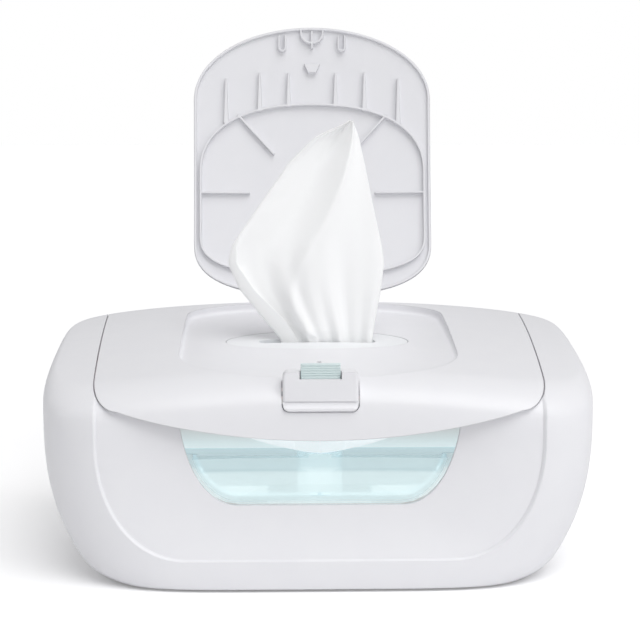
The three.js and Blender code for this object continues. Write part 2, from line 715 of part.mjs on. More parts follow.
const flipRibs = () => {
  const ring = pad(ringOutline(0), () => 60, () => 200, [1]).subtract(
    pad(ringOutline(-RIB_THICK), () => 50, () => 210, [1]),
  );
  const rim = pad(flipOutline(-0.2), shifted(undersideZ, -1.6), () => 200).subtract(
    pad(flipOutline(-RIB_THICK - 0.4), () => 50, () => 210, [1]),
  );
  const ringTop = FLIP_FRONT_Y + RING_FROM_FREE_END;
  const gussets = [
    [15, 21, 1.5],
    [33.5, 24, 4.5],
    [55, 28, 12.5],
  ].flatMap(([x, length, back]) =>
    mirrored.map((side) => {
      const foot = ringTop + back;
      const fin = polygon([
        [side * x - 1.5, foot],
        [side * x + 1.5, foot],
        [side * x + 0.5, foot - length],
        [side * x - 0.5, foot - length],
      ]);
      return prismZ(fin, 60, 200);
    }),
  );
  const bar = (x0, y0, x1, y1, width) => {
    const [dx, dy] = [x1 - x0, y1 - y0];
    const length = Math.hypot(dx, dy);
    const [nx, ny] = [(-dy / length) * (width / 2), (dx / length) * (width / 2)];
    const points = [
      [x0 + nx, y0 + ny],
      [x1 + nx, y1 + ny],
      [x1 - nx, y1 - ny],
      [x0 - nx, y0 - ny],
    ];
    return prismZ(polygon(points), 60, 200);
  };
  const spokes = mirrored.flatMap((side) => [
    bar(side * 47, FLIP_FRONT_Y + 57, side * 24.5, FLIP_FRONT_Y + 81, 1.2),
    bar(side * 71.4, FLIP_FRONT_Y + 106, side * 40, FLIP_FRONT_Y + 106, 1.2),
  ]);
  const cup = prismZ(polygon(roundedBox(7.6, FLIP_FRONT_Y + 2, FLIP_FRONT_Y + 10.5, 4)), 60, 200).subtract(
    prismZ(polygon(roundedBox(6.4, FLIP_FRONT_Y - 3, FLIP_FRONT_Y + 9.3, 3)), 60, 200),
  );
  const cupRib = bar(0, FLIP_FRONT_Y + 2.5, 0, FLIP_FRONT_Y + 13.5, 1.2);
  const pockets = mirrored.map((side) => {
    const [x, y] = [side * 19, FLIP_FRONT_Y + 4.5];
    const outside = prismZ(polygon(roundedBox(2.6, y, y + 11, 2)), 60, 200).translate(x, 0, 0);
    const inside = prismZ(polygon(roundedBox(1.5, y - 3, y + 9.9, 1)), 60, 200).translate(x, 0, 0);
    return outside.subtract(inside);
  });
  const hook = prismZ(
    polygon([
      [-5, FLIP_FRONT_Y + 23.5],
      [5, FLIP_FRONT_Y + 23.5],
      [2.5, FLIP_FRONT_Y + 29],
      [-2.5, FLIP_FRONT_Y + 29],
    ]),
    60,
    200,
  );
  const band = pad(flipOutline(-0.2), shifted(floorZ, PLAY), shifted(undersideZ, 0.6));
  const parts = join(ring, ...gussets, ...spokes, cup, cupRib, ...pockets, hook);
  const tall = parts.intersect(band);
  const rimBand = pad(flipOutline(-0.2), shifted(undersideZ, -1.6), shifted(undersideZ, 0.6));
  return join(tall, rim.intersect(rimBand));
};

function flipArm(x) {
  const side = polygon([
    [FLIP_BACK_Y - 5, 124.8],
    [FLIP_BACK_Y - 1.2, 124.8],
    [FLIP_AXIS_Y, FLIP_AXIS_Z - 3.4],
    [FLIP_AXIS_Y + 1, FLIP_AXIS_Z + 3.4],
    [FLIP_BACK_Y + 2, 127.6],
    [FLIP_BACK_Y - 5, 127.6],
  ]);
  const plate = prismX(side, x - FLIP_ARM_WIDTH / 2, x + FLIP_ARM_WIDTH / 2);
  const boss = rodX(x - FLIP_ARM_WIDTH / 2, x + FLIP_ARM_WIDTH / 2, FLIP_AXIS_Y, FLIP_AXIS_Z, 3.5);
  return join(plate, boss);
}

function flipLid() {
  const plate = pad(flipOutline(0), undersideZ, shifted(undersideZ, FLIP_THICK));
  const arms = mirrored.map((side) => flipArm(side * FLIP_ARM_X));
  return join(plate, flipRibs(), ...arms).subtract(
    rodX(-60, 60, FLIP_AXIS_Y, FLIP_AXIS_Z, PIN_RADIUS + SEAT),
  );
}

// Latch

function latchTab() {
  const front = new THREE.Shape();
  front.moveTo(-TAB_HALF, TAB_TOP);
  front.lineTo(-TAB_HALF, TAB_BOTTOM + TAB_CORNER);
  front.quadraticCurveTo(-TAB_HALF, TAB_BOTTOM, -TAB_HALF + TAB_CORNER, TAB_BOTTOM);
  front.lineTo(TAB_HALF - TAB_CORNER, TAB_BOTTOM);
  front.quadraticCurveTo(TAB_HALF, TAB_BOTTOM, TAB_HALF, TAB_BOTTOM + TAB_CORNER);
  front.lineTo(TAB_HALF, TAB_TOP);
  const skin = outer.subtract(envelope(TAB_THICK, INNER_STEPS));
  const plate = prismY(front, -100, TAB_BACK_Y, 5).intersect(skin).subtract(box(-30, 30, -100, -50, TAB_SILL, 150));
  const tower = box(-TAB_HALF, TAB_HALF, TAB_FRONT_Y, TAB_BACK_Y, TAB_TOWER, TAB_TOP);
  const lip = prismY(front, -100, -94, 5).intersect(box(-30, 30, -99.2, -94, TAB_BOTTOM, TAB_BOTTOM + 2.2));
  const hookFront = STRIKE_Y - SEAT - 0.1 - HOOK_NOSE - HOOK_THICK;
  const shank = box(-HOOK_HALF, HOOK_HALF, hookFront, hookFront + HOOK_THICK, HOOK_BOTTOM, 108);
  const nose = box(-HOOK_HALF, HOOK_HALF, hookFront, STRIKE_Y - SEAT - 0.1, HOOK_BOTTOM, HOOK_BOTTOM + 2);
  const well = box(
    -BUTTON_HALF - PLAY,
    BUTTON_HALF + PLAY,
    TAB_FRONT_Y + BUTTON_SET_BACK - PLAY,
    TAB_FRONT_Y + BUTTON_SET_BACK + BUTTON_DEPTH + PLAY,
    BUTTON_FLOOR,
    160,
  );
  const mouth = box(
    -BUTTON_HALF - PLAY,
    BUTTON_HALF + PLAY,
    TAB_FRONT_Y - 5,
    TAB_FRONT_Y + BUTTON_SET_BACK,
    TAB_SILL,
    160,
  );
  const pocket = join(well, mouth);
  return join(plate, tower, lip, shank, nose, trunnions(0)).subtract(pocket);
}

function releaseButton() {
  const front = TAB_FRONT_Y + BUTTON_SET_BACK;
  const block = box(-BUTTON_HALF, BUTTON_HALF, front, front + BUTTON_DEPTH, BUTTON_BOTTOM, BUTTON_TOP);
  const grooves = [];
  for (let z = TAB_SILL + BUTTON_GROOVE; z < BUTTON_TOP - 1; z += BUTTON_GROOVE) {
    grooves.push(box(-BUTTON_HALF - 1, BUTTON_HALF + 1, front - 1, front + 0.3, z, z + 0.4));
  }
  return block.subtract(join(...grooves));
}

function buttonSpring() {
  const y = TAB_FRONT_Y + BUTTON_SET_BACK + BUTTON_DEPTH / 2;
  const [low, high] = [BUTTON_FLOOR + SEAT, BUTTON_BOTTOM - SEAT];
  return rodZ(0, y, low, high, 1.3, 12).subtract(rodZ(0, y, low - 1, high + 1, 0.7, 12));
}

// A wire bent along points, with a round section.
function wire(points, radius, sides, steps) {
  const ring = new THREE.Shape();
  for (let i = 0; i < sides; i++) {
    const a = (2 * Math.PI * i) / sides;
    const corner = [radius * Math.cos(a), radius * Math.sin(a)];
    if (i) ring.lineTo(...corner);
    else ring.moveTo(...corner);
  }
  const path = new THREE.CatmullRomCurve3(points);
  return solid(new THREE.ExtrudeGeometry(ring, { steps, bevelEnabled: false, extrudePath: path }));
}

// Torsion spring wound on the flip lid's pin, with its tail down the lid's back.
function flipSpring() {
  const [turns, each, radius] = [4, 8, PIN_RADIUS + 1.1];
  const points = [];
  for (let i = 0; i <= turns * each; i++) {
    const a = (2 * Math.PI * i) / each;
    points.push(
      new THREE.Vector3(-6 + (12 * i) / (turns * each), FLIP_AXIS_Y + radius * Math.cos(a), FLIP_AXIS_Z + radius * Math.sin(a)),
    );
  }
  points.unshift(new THREE.Vector3(-6.5, FLIP_AXIS_Y + radius, FLIP_AXIS_Z - 9));
  return wire(points, 0.5, 6, points.length);
}

// Pins: one through both flip lid arms and one in each main lid hinge

const mainPinReach = (MAIN_ARM_WIDTH + 2 * LUG_WIDTH) / 2 + PLAY;
const mainPin = (side) =>
  rodX(
    side * MAIN_ARM_X - mainPinReach,
    side * MAIN_ARM_X + mainPinReach,
    MAIN_AXIS_Y,
    MAIN_AXIS_Z,
    PIN_RADIUS,
  );
const flipPinReach = FLIP_ARM_X + flipLugOffset + LUG_WIDTH / 2;
const flipPin = () => rodX(-flipPinReach, flipPinReach, FLIP_AXIS_Y, FLIP_AXIS_Z, PIN_RADIUS);

// Inner tub: a deck with upstands that lines the lid's seat, and the well for the tray

const DECK_THICK = 2.2;
const tubOutline = (grow) =>
  roundedBox(TUB_HALF_X + grow, TUB_FRONT_Y - grow, TUB_BACK_Y + grow, TUB_CORNER + grow);

const behindPane = (gap) => scoop(WALL, SCOOP_DEPTH + WALL + 2 * SEAT + PANE_THICK + gap);

function innerTub() {
  const seat = envelope(WALL + SEAT, INNER_STEPS).subtract(behindPane(PLAY));
  const deck = seat.intersect(lidZone(SEAM + DECK_THICK).subtract(lidZone(SEAM)));
  const well = prismZ(polygon(tubOutline(0)), TUB_FLOOR - TUB_WALL, 130).subtract(lidZone(SEAM));
  const view = prismY(windowOutline(3), -120, -60, 8);
  const inside = prismZ(polygon(tubOutline(-TUB_WALL)), TUB_FLOOR, 140);
  const strike = join(
    box(-STRIKE_HALF, STRIKE_HALF, -81, -78, 81, STRIKE_TOP),
    box(-STRIKE_HALF, STRIKE_HALF, STRIKE_Y, -78, STRIKE_TOP - 2, STRIKE_TOP),
  );
  return join(deck.subtract(inside), well.subtract(view).subtract(inside), strike);
}

const trayBehindPane = behindPane(PLAY);

function wipeTray() {
  const gap = -TUB_WALL - TRAY_GAP;
  const bottom = TUB_FLOOR + SEAT;
  const basin = prismZ(polygon(tubOutline(gap)), bottom, TRAY_RIM);
  const belowRim = box(-120, 120, -120, 0, 0, TRAY_RIM);
  const nose = prismY(windowOutline(-1.4), -95, TUB_FRONT_Y + 8, 8).intersect(belowRim);
  const noseInside = prismY(windowOutline(-1.4 - TRAY_WALL), -110, TUB_FRONT_Y + 12, 8);
  const inside = prismZ(polygon(tubOutline(gap - TRAY_WALL)), bottom + TRAY_WALL, TRAY_RIM + 5);
  const wallBack = behindPane(PLAY + TRAY_WALL);
  const shell = join(basin, nose)
    .subtract(trayBehindPane)
    .subtract(noseInside.subtract(wallBack))
    .subtract(inside);
  const band = prismY(windowOutline(-1.4), -95, TUB_FRONT_Y, 8)
    .intersect(box(-80, 80, -100, TUB_FRONT_Y, TRAY_RIM - BAND_HEIGHT, TRAY_RIM))
    .subtract(trayBehindPane);
  const post = prismZ(
    polygon([
      [-PROW_HALF, TUB_FRONT_Y + 2],
      [0, -90],
      [PROW_HALF, TUB_FRONT_Y + 2],
    ]),
    WINDOW_BOTTOM + 2,
    POST_TOP,
  ).subtract(trayBehindPane);
  const rib = box(-1, 1, TUB_FRONT_Y + 3.5, TUB_BACK_Y + gap - 1, bottom + 1, LEDGE_TOP);
  const ledges = mirrored.map((side) => {
    const edges = [side * LEDGE_IN, side * LEDGE_OUT].sort((a, b) => a - b);
    return box(edges[0], edges[1], TUB_FRONT_Y + 2, TUB_FRONT_Y + 16, bottom + 1, LEDGE_TOP);
  });
  return join(shell, band, post, rib, ...ledges);
}

// White catch under the lid's front edge: a prow with two wings that follow the edge.
function lidCatch() {
  const wing = new THREE.Shape();
  wing.moveTo(-CATCH_WING, LID_EDGE_Z);
  wing.quadraticCurveTo(-18, CATCH_BOTTOM, 0, CATCH_BOTTOM);
  wing.quadraticCurveTo(18, CATCH_BOTTOM, CATCH_WING, LID_EDGE_Z);
  wing.lineTo(CATCH_WING, 95);
  wing.lineTo(-CATCH_WING, 95);
  const prow = polygon([
    [-CATCH_HALF, -80],
    [0, -82.6],
    [CATCH_HALF, -80],
    [CATCH_HALF, TUB_FRONT_Y - 1],
    [-CATCH_HALF, TUB_FRONT_Y - 1],
  ]);
  const front = prismY(wing, -90, TUB_FRONT_Y - 1, 6);
  const shape = front.intersect(join(prismZ(prow, 60, 100), box(-50, 50, -79.4, TUB_FRONT_Y - 1, 60, 100)));
  return shape.subtract(lidZone(SEAM + DECK_THICK + SEAT));
}

// Heater below the tub, and the base that carries it

const HEATER_Z = TUB_FLOOR - TUB_WALL - SEAT - HEATER_THICK;
const PAD_Z = HEATER_Z - SEAT - PAD_THICK;
const FELT_Z = PAD_Z - SEAT - FELT_THICK;
const BASE_TOP = BASE_Z + BASE_THICK;
const slab = (halfX, halfY, corner, z0, z1) =>
  prismZ(polygon(roundedBox(halfX, -halfY, halfY, corner, 3)), z0, z1);
const thermostatHole = () => rodZ(THERMOSTAT_X, 0, 20, HEATER_Z - 0.1, THERMOSTAT_RADIUS + PLAY);
const heaterPlate = () => slab(HEATER_HALF_X, HEATER_HALF_Y, 8, HEATER_Z, HEATER_Z + HEATER_THICK);
const heatingPad = () =>
  slab(HEATER_HALF_X - 4, HEATER_HALF_Y - 4, 6, PAD_Z, PAD_Z + PAD_THICK).subtract(thermostatHole());
const feltPad = () => slab(HEATER_HALF_X, HEATER_HALF_Y, 8, FELT_Z, FELT_Z + FELT_THICK).subtract(thermostatHole());
const thermostat = () => rodZ(THERMOSTAT_X, 0, FELT_Z - 3, HEATER_Z - SEAT, THERMOSTAT_RADIUS);

const postPlaces = mirrored.flatMap((sx) => mirrored.map((sy) => [sx, sy]));

function basePlate() {
  const sheet = envelope(WALL + PLAY, INNER_STEPS).intersect(box(-200, 200, -200, 200, BASE_Z, BASE_TOP));
  const posts = postPlaces.map(([sx, sy]) =>
    rodZ(sx * POST_X, sy * POST_Y, BASE_Z + 1, FELT_Z - POST_TOP_GAP, POST_RADIUS, 16),
  );
  const pegs = postPlaces.map(([sx, sy]) =>
    rodZ(sx * (BOARD_HALF_X - 4), BOARD_Y + sy * (BOARD_HALF_Y - 4), BASE_Z + 1, BOARD_Z - SEAT, 2.5, 12),
  );
  const holes = postPlaces.map(([sx, sy]) =>
    rodZ(sx * POST_X, sy * POST_Y, -5, SCREW_LENGTH + BASE_Z, SCREW_RADIUS + SEAT, 12),
  );
  return join(sheet, ...posts, ...pegs).subtract(join(...holes));
}

function baseScrew(sx, sy) {
  const top = BASE_Z - SEAT;
  const [x, y] = [sx * POST_X, sy * POST_Y];
  return join(rodZ(x, y, 0.4, top, SCREW_HEAD, 12), rodZ(x, y, top - 0.5, SCREW_LENGTH, SCREW_RADIUS, 12));
}

const rubberFoot = (sx, sy) => rodZ(sx * FOOT_X, sy * FOOT_Y, 0, BASE_Z - SEAT, FOOT_RADIUS, 24);
const circuitBoard = () =>
  box(-BOARD_HALF_X, BOARD_HALF_X, BOARD_Y - BOARD_HALF_Y, BOARD_Y + BOARD_HALF_Y, BOARD_Z, BOARD_Z + BOARD_THICK);

function powerJack() {
  const back = BODY_DEPTH / 2;
  const block = box(-JACK_HALF, JACK_HALF, back - 18, back - WALL - SEAT - 0.3, BASE_TOP + SEAT, JACK_Z + JACK_HALF);
  const along = (y0, y1, radius) =>
    solid(new THREE.CylinderGeometry(radius, radius, y1 - y0, 20).translate(0, (y0 + y1) / 2, JACK_Z));
  const barrel = join(block, along(back - 8, back - 0.5, JACK_RADIUS));
  return barrel.subtract(along(back - 10, back + 5, JACK_RADIUS - 1.4)).add(along(back - 11, back - 3, 1));
}

// The wipe: one sheet drawn up through the slot, gathered there and spread above.
function wipe() {
  const sheet = new THREE.Shape();
  sheet.moveTo(-19, 112);
  sheet.lineTo(-20.9, 122.5);
  sheet.quadraticCurveTo(-32, 136, -43.9, 151);
  sheet.quadraticCurveTo(-54, 167, -47.8, 176.5);
  sheet.lineTo(-15.3, 223);
  sheet.quadraticCurveTo(-6, 237, 8, 242);
  sheet.lineTo(19.6, WIPE_TOP);
  sheet.quadraticCurveTo(23, 243, 25.2, 229.6);
  sheet.quadraticCurveTo(31, 200, 36.4, 177);
  sheet.quadraticCurveTo(40, 163, 35.9, 151);
  sheet.lineTo(31.4, 122.5);
  sheet.lineTo(31, 112);
  return prismY(sheet, SLOT_Y - WIPE_THICK / 2, SLOT_Y + WIPE_THICK / 2, 5);
}

// Materials

const finish = (color, roughness, metalness = 0) =>
  new THREE.MeshStandardMaterial({ color, roughness, metalness });
const whiteShell = finish(0xf1f1f4, 0.32);
const whiteInner = finish(0xf4f4f4, 0.45);
const aqua = finish(0xcddedf, 0.3);
const aquaClear = new THREE.MeshStandardMaterial({
  color: 0xb9d6da,
  roughness: 0.15,
  transparent: true,
  opacity: 0.6,
});
const clear = new THREE.MeshStandardMaterial({
  color: 0xf4f8f8,
  roughness: 0.05,
  transparent: true,
  opacity: 0.3,
});
const steel = finish(0xb8bbbd, 0.3, 1);
const aluminium = finish(0xc9ccce, 0.35, 1);
const rubber = finish(0x8d9093, 0.85);
const silicone = finish(0xe9ebed, 0.5);
const cloth = finish(0xfafafa, 0.95);
const boardGreen = finish(0x2f6b4a, 0.5);
const black = finish(0x222326, 0.45);
const felt = finish(0xd9d5cb, 0.95);
const heaterFilm = finish(0xc98b4a, 0.4);

// Assembly

const body = new THREE.Group();
const flipGroup = new THREE.Group();
body.add(flipGroup);

function place(name, shape, material, group = body) {
  const mesh = new THREE.Mesh(geometryOf(largest(shape)), material);
  mesh.name = name;
  group.add(mesh);
}

place("outer_housing", housing(), whiteShell);
place("window_pane", windowPane(), clear);
place("main_lid", mainLid(), whiteShell);
place("lid_liner", lidLiner(), whiteInner);
place("lid_seal", sealRing(0), silicone);
place("dispensing_insert", dispensingInsert(), silicone);
place("latch_tab", latchTab(), whiteShell);
place("release_button", releaseButton(), aqua);
place("button_spring", buttonSpring(), steel);
place("inner_tub", innerTub(), whiteInner);
place("wipe_tray", wipeTray(), aquaClear);
place("lid_catch", lidCatch(), whiteShell);
place("heater_plate", heaterPlate(), aluminium);
place("heating_pad", heatingPad(), heaterFilm);
place("insulation_felt", feltPad(), felt);
place("thermostat", thermostat(), black);
place("circuit_board", circuitBoard(), boardGreen);
place("power_jack", powerJack(), black);
place("base_plate", basePlate(), whiteInner);
for (const [sx, sy] of postPlaces) {
  const corner = (sy < 0 ? "front_" : "back_") + (sx < 0 ? "left" : "right");
  place("base_screw_" + corner, baseScrew(sx, sy), steel);
  place("rubber_foot_" + corner, rubberFoot(sx, sy), rubber);
}
place("main_hinge_pin_left", mainPin(-1), steel);
place("main_hinge_pin_right", mainPin(1), steel);
place("flip_hinge_pin", flipPin(), steel);
place("flip_spring", flipSpring(), steel);
place("wipe", wipe(), cloth);
place("flip_lid", flipLid(), whiteShell, flipGroup);

// The flip lid turns about its pin: shut it lies in the recess, open it leans back on its stop.
flipGroup.position.set(0, FLIP_AXIS_Y, FLIP_AXIS_Z);
flipGroup.rotation.x = (-FLIP_OPEN_DEG * Math.PI) / 180;
for (const mesh of flipGroup.children) mesh.position.set(0, -FLIP_AXIS_Y, -FLIP_AXIS_Z);

// The origin lies under the middle of the whole, on the table.
const part = new THREE.Group();
part.add(body);
part.updateMatrixWorld(true);
const extent = new THREE.Box3().setFromObject(part, true);
body.position.y = -(extent.min.y + extent.max.y) / 2;

export default part;
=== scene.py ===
import math

import bpy
import numpy as np
from mathutils import Matrix, Vector


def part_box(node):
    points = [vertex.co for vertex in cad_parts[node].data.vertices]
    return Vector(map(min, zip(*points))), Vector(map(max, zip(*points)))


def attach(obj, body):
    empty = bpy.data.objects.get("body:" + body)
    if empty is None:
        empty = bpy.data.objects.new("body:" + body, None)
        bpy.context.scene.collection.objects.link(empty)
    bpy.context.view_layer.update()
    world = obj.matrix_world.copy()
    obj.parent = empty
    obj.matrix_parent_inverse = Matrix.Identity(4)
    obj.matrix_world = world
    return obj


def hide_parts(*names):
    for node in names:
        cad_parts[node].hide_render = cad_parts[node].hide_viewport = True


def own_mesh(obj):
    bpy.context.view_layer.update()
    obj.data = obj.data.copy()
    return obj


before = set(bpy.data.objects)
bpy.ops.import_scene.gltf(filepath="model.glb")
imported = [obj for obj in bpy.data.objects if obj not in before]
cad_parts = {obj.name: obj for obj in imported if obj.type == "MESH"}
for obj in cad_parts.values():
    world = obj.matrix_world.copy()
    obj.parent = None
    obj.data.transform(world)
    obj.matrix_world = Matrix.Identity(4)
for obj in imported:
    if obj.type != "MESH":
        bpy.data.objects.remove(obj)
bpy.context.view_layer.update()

# Wipe warmer: a heated tub for baby wipes, shown in use with its flip lid open and one wipe drawn up.
# The camera stands where the photograph was taken. Lengths are millimetres, and MIDDLE is the depth of
# the body's middle in the frame; a mesh is turned to metres as it is made.
MM = 0.001
MIDDLE = sum(corner[1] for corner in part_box("base_plate")) / 2 / MM

CAMERA_PLACE = (-21.8, MIDDLE - 1000, 289.9)
CAMERA_PITCH = 0.157
CAMERA_TURN = 0.0237
camera = bpy.data.objects.new("camera", bpy.data.cameras.new("camera"))
bpy.context.collection.objects.link(camera)
camera.data.lens = 98.9
camera.data.sensor_width = 36
camera.data.clip_end = 20
camera.location = Vector(CAMERA_PLACE) * MM
camera.rotation_euler = (math.pi / 2 - CAMERA_PITCH, 0, -CAMERA_TURN)
bpy.context.scene.camera = camera
bpy.context.scene.view_settings.view_transform = "Standard"


# A white table that runs on as the background, under a wide soft sun that stands high and a little to the
# right, with a weak fill lamp on the right. The camera sees white around the object, and the table keeps
# the soft shadow under it.
def linear(colour):
    parts = [int(colour[i:i + 2], 16) / 255 for i in (1, 3, 5)]
    return (*[p / 12.92 if p <= 0.04045 else ((p + 0.055) / 1.055) ** 2.4 for p in parts], 1)


def add_node(tree, kind, settings=None, links=None):
    """A shader node with its settings, and with its inputs joined to other nodes' outputs."""
    made = tree.nodes.new(kind)
    for key, value in (settings or {}).items():
        if isinstance(key, int) or key in made.inputs:
            made.inputs[key].default_value = value
        else:
            setattr(made, key, value)
    for key, source in (links or {}).items():
        tree.links.new(source, made.inputs[key])
    return made


TABLE_HALF = 4000
TABLE_DROP = 0.2
PAPER_GLOW = 0.17
SKY_LIGHT = 0.44
SUN_FROM = (0.24, -0.42, 0.87)
SUN_STRENGTH = 1.75
SUN_SPREAD = math.radians(50)
table_mesh = bpy.data.meshes.new("table")
table_corners = [
    Vector((side * TABLE_HALF, end * TABLE_HALF, -TABLE_DROP)) * MM
    for side, end in ((-1, -1), (1, -1), (1, 1), (-1, 1))
]
table_mesh.from_pydata(table_corners, [], [(0, 1, 2, 3)])
table = bpy.data.objects.new("table", table_mesh)
bpy.context.collection.objects.link(table)

paper = bpy.data.materials.new("white_paper")
paper.use_nodes = True
paper_shader = paper.node_tree.nodes["Principled BSDF"]
paper_shader.inputs["Base Color"].default_value = linear("#F7F7F8")
paper_shader.inputs["Roughness"].default_value = 0.9
paper_shader.inputs["Specular IOR Level"].default_value = 0.1
paper_shader.inputs["Emission Color"].default_value = linear("#FFFFFF")
paper_path = add_node(paper.node_tree, "ShaderNodeLightPath")
paper_seen = add_node(
    paper.node_tree,
    "ShaderNodeMath",
    {"operation": "MULTIPLY", 1: PAPER_GLOW},
    {0: paper_path.outputs["Is Camera Ray"]},
)
paper.node_tree.links.new(paper_seen.outputs[0], paper_shader.inputs["Emission Strength"])
table_mesh.materials.append(paper)

world = bpy.data.worlds.new("studio")
bpy.context.scene.world = world
world.use_nodes = True
sky = world.node_tree.nodes["Background"]
sky.inputs["Color"].default_value = linear("#FFFFFF")
sky_path = add_node(world.node_tree, "ShaderNodeLightPath")
sky_strength = add_node(
    world.node_tree,
    "ShaderNodeMapRange",
    {"To Min": SKY_LIGHT, "To Max": 1.0},
    {"Value": sky_path.outputs["Is Camera Ray"]},
)
world.node_tree.links.new(sky_strength.outputs[0], sky.inputs["Strength"])


def softbox(name, place, aim, size, power):
    lamp = bpy.data.lights.new(name, "AREA")
    lamp.shape = "RECTANGLE"
    lamp.size, lamp.size_y = size[0] * MM, size[1] * MM
    lamp.energy = power
    holder = bpy.data.objects.new(name, lamp)
    bpy.context.collection.objects.link(holder)
    holder.location = Vector(place) * MM
    holder.rotation_euler = (Vector(aim) - Vector(place)).to_track_quat("-Z", "Y").to_euler()


softbox("fill_light", (1300, -1100, 500), (0, 0, 80), (1000, 1000), 3)

daylight = bpy.data.lights.new("daylight", "SUN")
daylight.energy = SUN_STRENGTH
daylight.angle = SUN_SPREAD
sun = bpy.data.objects.new("daylight", daylight)
bpy.context.collection.objects.link(sun)
sun.rotation_euler = Vector(SUN_FROM).to_track_quat("Z", "Y").to_euler()


# Outer housing: the moulded lower shell of glossy white ABS, wide at the belly and drawn in to its foot.
# Its front dishes in from a crease to the window, its top is open for the lid, and four lugs at the back
# carry the lid's two pins.
WIDTH = 304
DEPTH = 196
HEIGHT = 129
BELLY = 106
SIDE_TAPER = 27
FACE_TAPER = 5
FOOT = 15
FACE_FOOT = 2
SHOULDER = 14
SIDE_SHOULDER = 6
FRONT_SHOULDER = 19
PLAN_POWER = 5.5
SIDE_TAPER_POWER = 2.6
CROWN_SIDE_DROP = 6.2
CROWN_SIDE_REACH = 125
CROWN_FRONT_DROP = 13.5
CROWN_CORNER_DROP = 4.5
CROWN_FRONT_POWER = 2.2
CROWN_BACK = 85
CROWN_LENGTH = CROWN_BACK + DEPTH / 2 - 10
WALL = 2.6
SEAM = 0.6


def crown(x, y):
    """Height of the top over a plan point: it falls to both sides and, more and more, to the front."""
    forward = np.clip((CROWN_BACK - y) / CROWN_LENGTH, 0, None) ** CROWN_FRONT_POWER
    side = (x / CROWN_SIDE_REACH) ** 2
    return HEIGHT - CROWN_SIDE_DROP * side - (CROWN_FRONT_DROP + CROWN_CORNER_DROP * side) * forward


def quarter(part):
    """How far a quarter round has turned in, from 0 where it begins to 1 at its end."""
    return 1 - np.sqrt(1 - np.clip(part, 0, 1) ** 2)


def plan_at(z):
    """Half width, half depth and middle of the body's plan at a height."""
    low = np.clip((BELLY - z) / BELLY, 0, None) ** SIDE_TAPER_POWER
    high = np.clip((z - BELLY) / (HEIGHT - BELLY), 0, None) ** 2
    foot = quarter((FOOT - z) / FOOT)
    shoulder = quarter((z - HEIGHT + SHOULDER) / SHOULDER)
    front = DEPTH / 2 - FACE_TAPER * high - FACE_FOOT * foot - FRONT_SHOULDER * shoulder
    back = DEPTH / 2 - FACE_FOOT * foot - SIDE_SHOULDER * shoulder
    half_x = WIDTH / 2 - SIDE_TAPER * low - FOOT * foot - SIDE_SHOULDER * shoulder
    return half_x, (front + back) / 2, (back - front) / 2


def face_y(x, z):
    """Depth of the body's front at x and z, found by halving."""
    low = np.zeros_like(z)
    high = np.full_like(z, HEIGHT - 0.5)
    for _ in range(30):
        level = (low + high) / 2
        half_x, half_y, centre = plan_at(level)
        part = np.clip(1 - np.abs(x / half_x) ** PLAN_POWER, 0, None)
        y = centre - half_y * part ** (1 / PLAN_POWER)
        under = level / HEIGHT * crown(x, y) < z
        low = np.where(under, level, low)
        high = np.where(under, high, level)
    return y


def skin(name, points, faces):
    """A mesh object from points in millimetres about the body's middle."""
    mesh = bpy.data.meshes.new(name)
    placed = (np.asarray(points, dtype=float) + [0, MIDDLE, 0]) * MM
    mesh.from_pydata(placed.tolist(), [], faces)
    piece = bpy.data.objects.new(name, mesh)
    bpy.context.collection.objects.link(piece)
    return piece


def loft(name, rings):
    """A closed solid through rings of as many points each, with a fan over each end."""
    count = len(rings[0])
    points = np.vstack([*rings, rings[0].mean(axis=0), rings[-1].mean(axis=0)])
    faces = []
    for k in range(len(rings) - 1):
        a, b = k * count, (k + 1) * count
        faces += [(a + i, a + (i + 1) % count, b + (i + 1) % count, b + i) for i in range(count)]
    first, last = len(rings) * count, (len(rings) - 1) * count
    faces += [(first, (i + 1) % count, i) for i in range(count)]
    faces += [(first + 1, last + i, last + (i + 1) % count) for i in range(count)]
    piece = skin(name, points, faces)
    tetrahedra = 0.0
    for face in piece.data.polygons:
        corners = [piece.data.vertices[v].co for v in face.vertices]
        for i in range(1, len(corners) - 1):
            tetrahedra += corners[0].dot(corners[i].cross(corners[i + 1]))
    if tetrahedra < 0:
        piece.data.flip_normals()
    return piece


def envelope(name, inset):
    """The whole body's outer form, drawn in by inset."""
    turn = np.linspace(0, 2 * np.pi, 288, endpoint=False)
    reach = (np.abs(np.cos(turn)) ** PLAN_POWER + np.abs(np.sin(turn)) ** PLAN_POWER) ** (-1 / PLAN_POWER)
    easing = np.sin(np.linspace(0, np.pi / 2, 13))
    levels = [
        *(FOOT * (1 - np.cos(np.linspace(0, np.pi / 2, 11)[:-1]))),
        *np.linspace(FOOT, HEIGHT - SHOULDER, 19)[:-1],
        *(HEIGHT - SHOULDER + SHOULDER * easing),
    ]
    rings = []
    for level, scale in [*[(z, 1) for z in levels], *[(HEIGHT, s) for s in np.linspace(1, 0.03, 26)[1:]]]:
        half_x, half_y, centre = plan_at(np.float64(level))
        x = scale * (half_x - inset) * reach * np.cos(turn)
        y = centre + scale * (half_y - inset) * reach * np.sin(turn)
        rings.append(np.stack([x, y, level / HEIGHT * (crown(x, y) - inset)], axis=1))
    return loft(name, rings)


def prism(name, outline, low, high, axis="Z"):
    flat = np.asarray(outline, dtype=float)
    ends = []
    for level in (low, high):
        along = np.full(len(flat), level)
        columns = {"X": (along, *flat.T), "Y": (flat[:, 0], along, flat[:, 1]), "Z": (*flat.T, along)}[axis]
        ends.append(np.stack(columns, axis=1))
    return loft(name, ends)


def arc(centre_a, centre_b, radius, start, end, steps):
    turn = np.radians(np.linspace(start, end, steps))
    return np.stack([centre_a + radius * np.cos(turn), centre_b + radius * np.sin(turn)], axis=1)


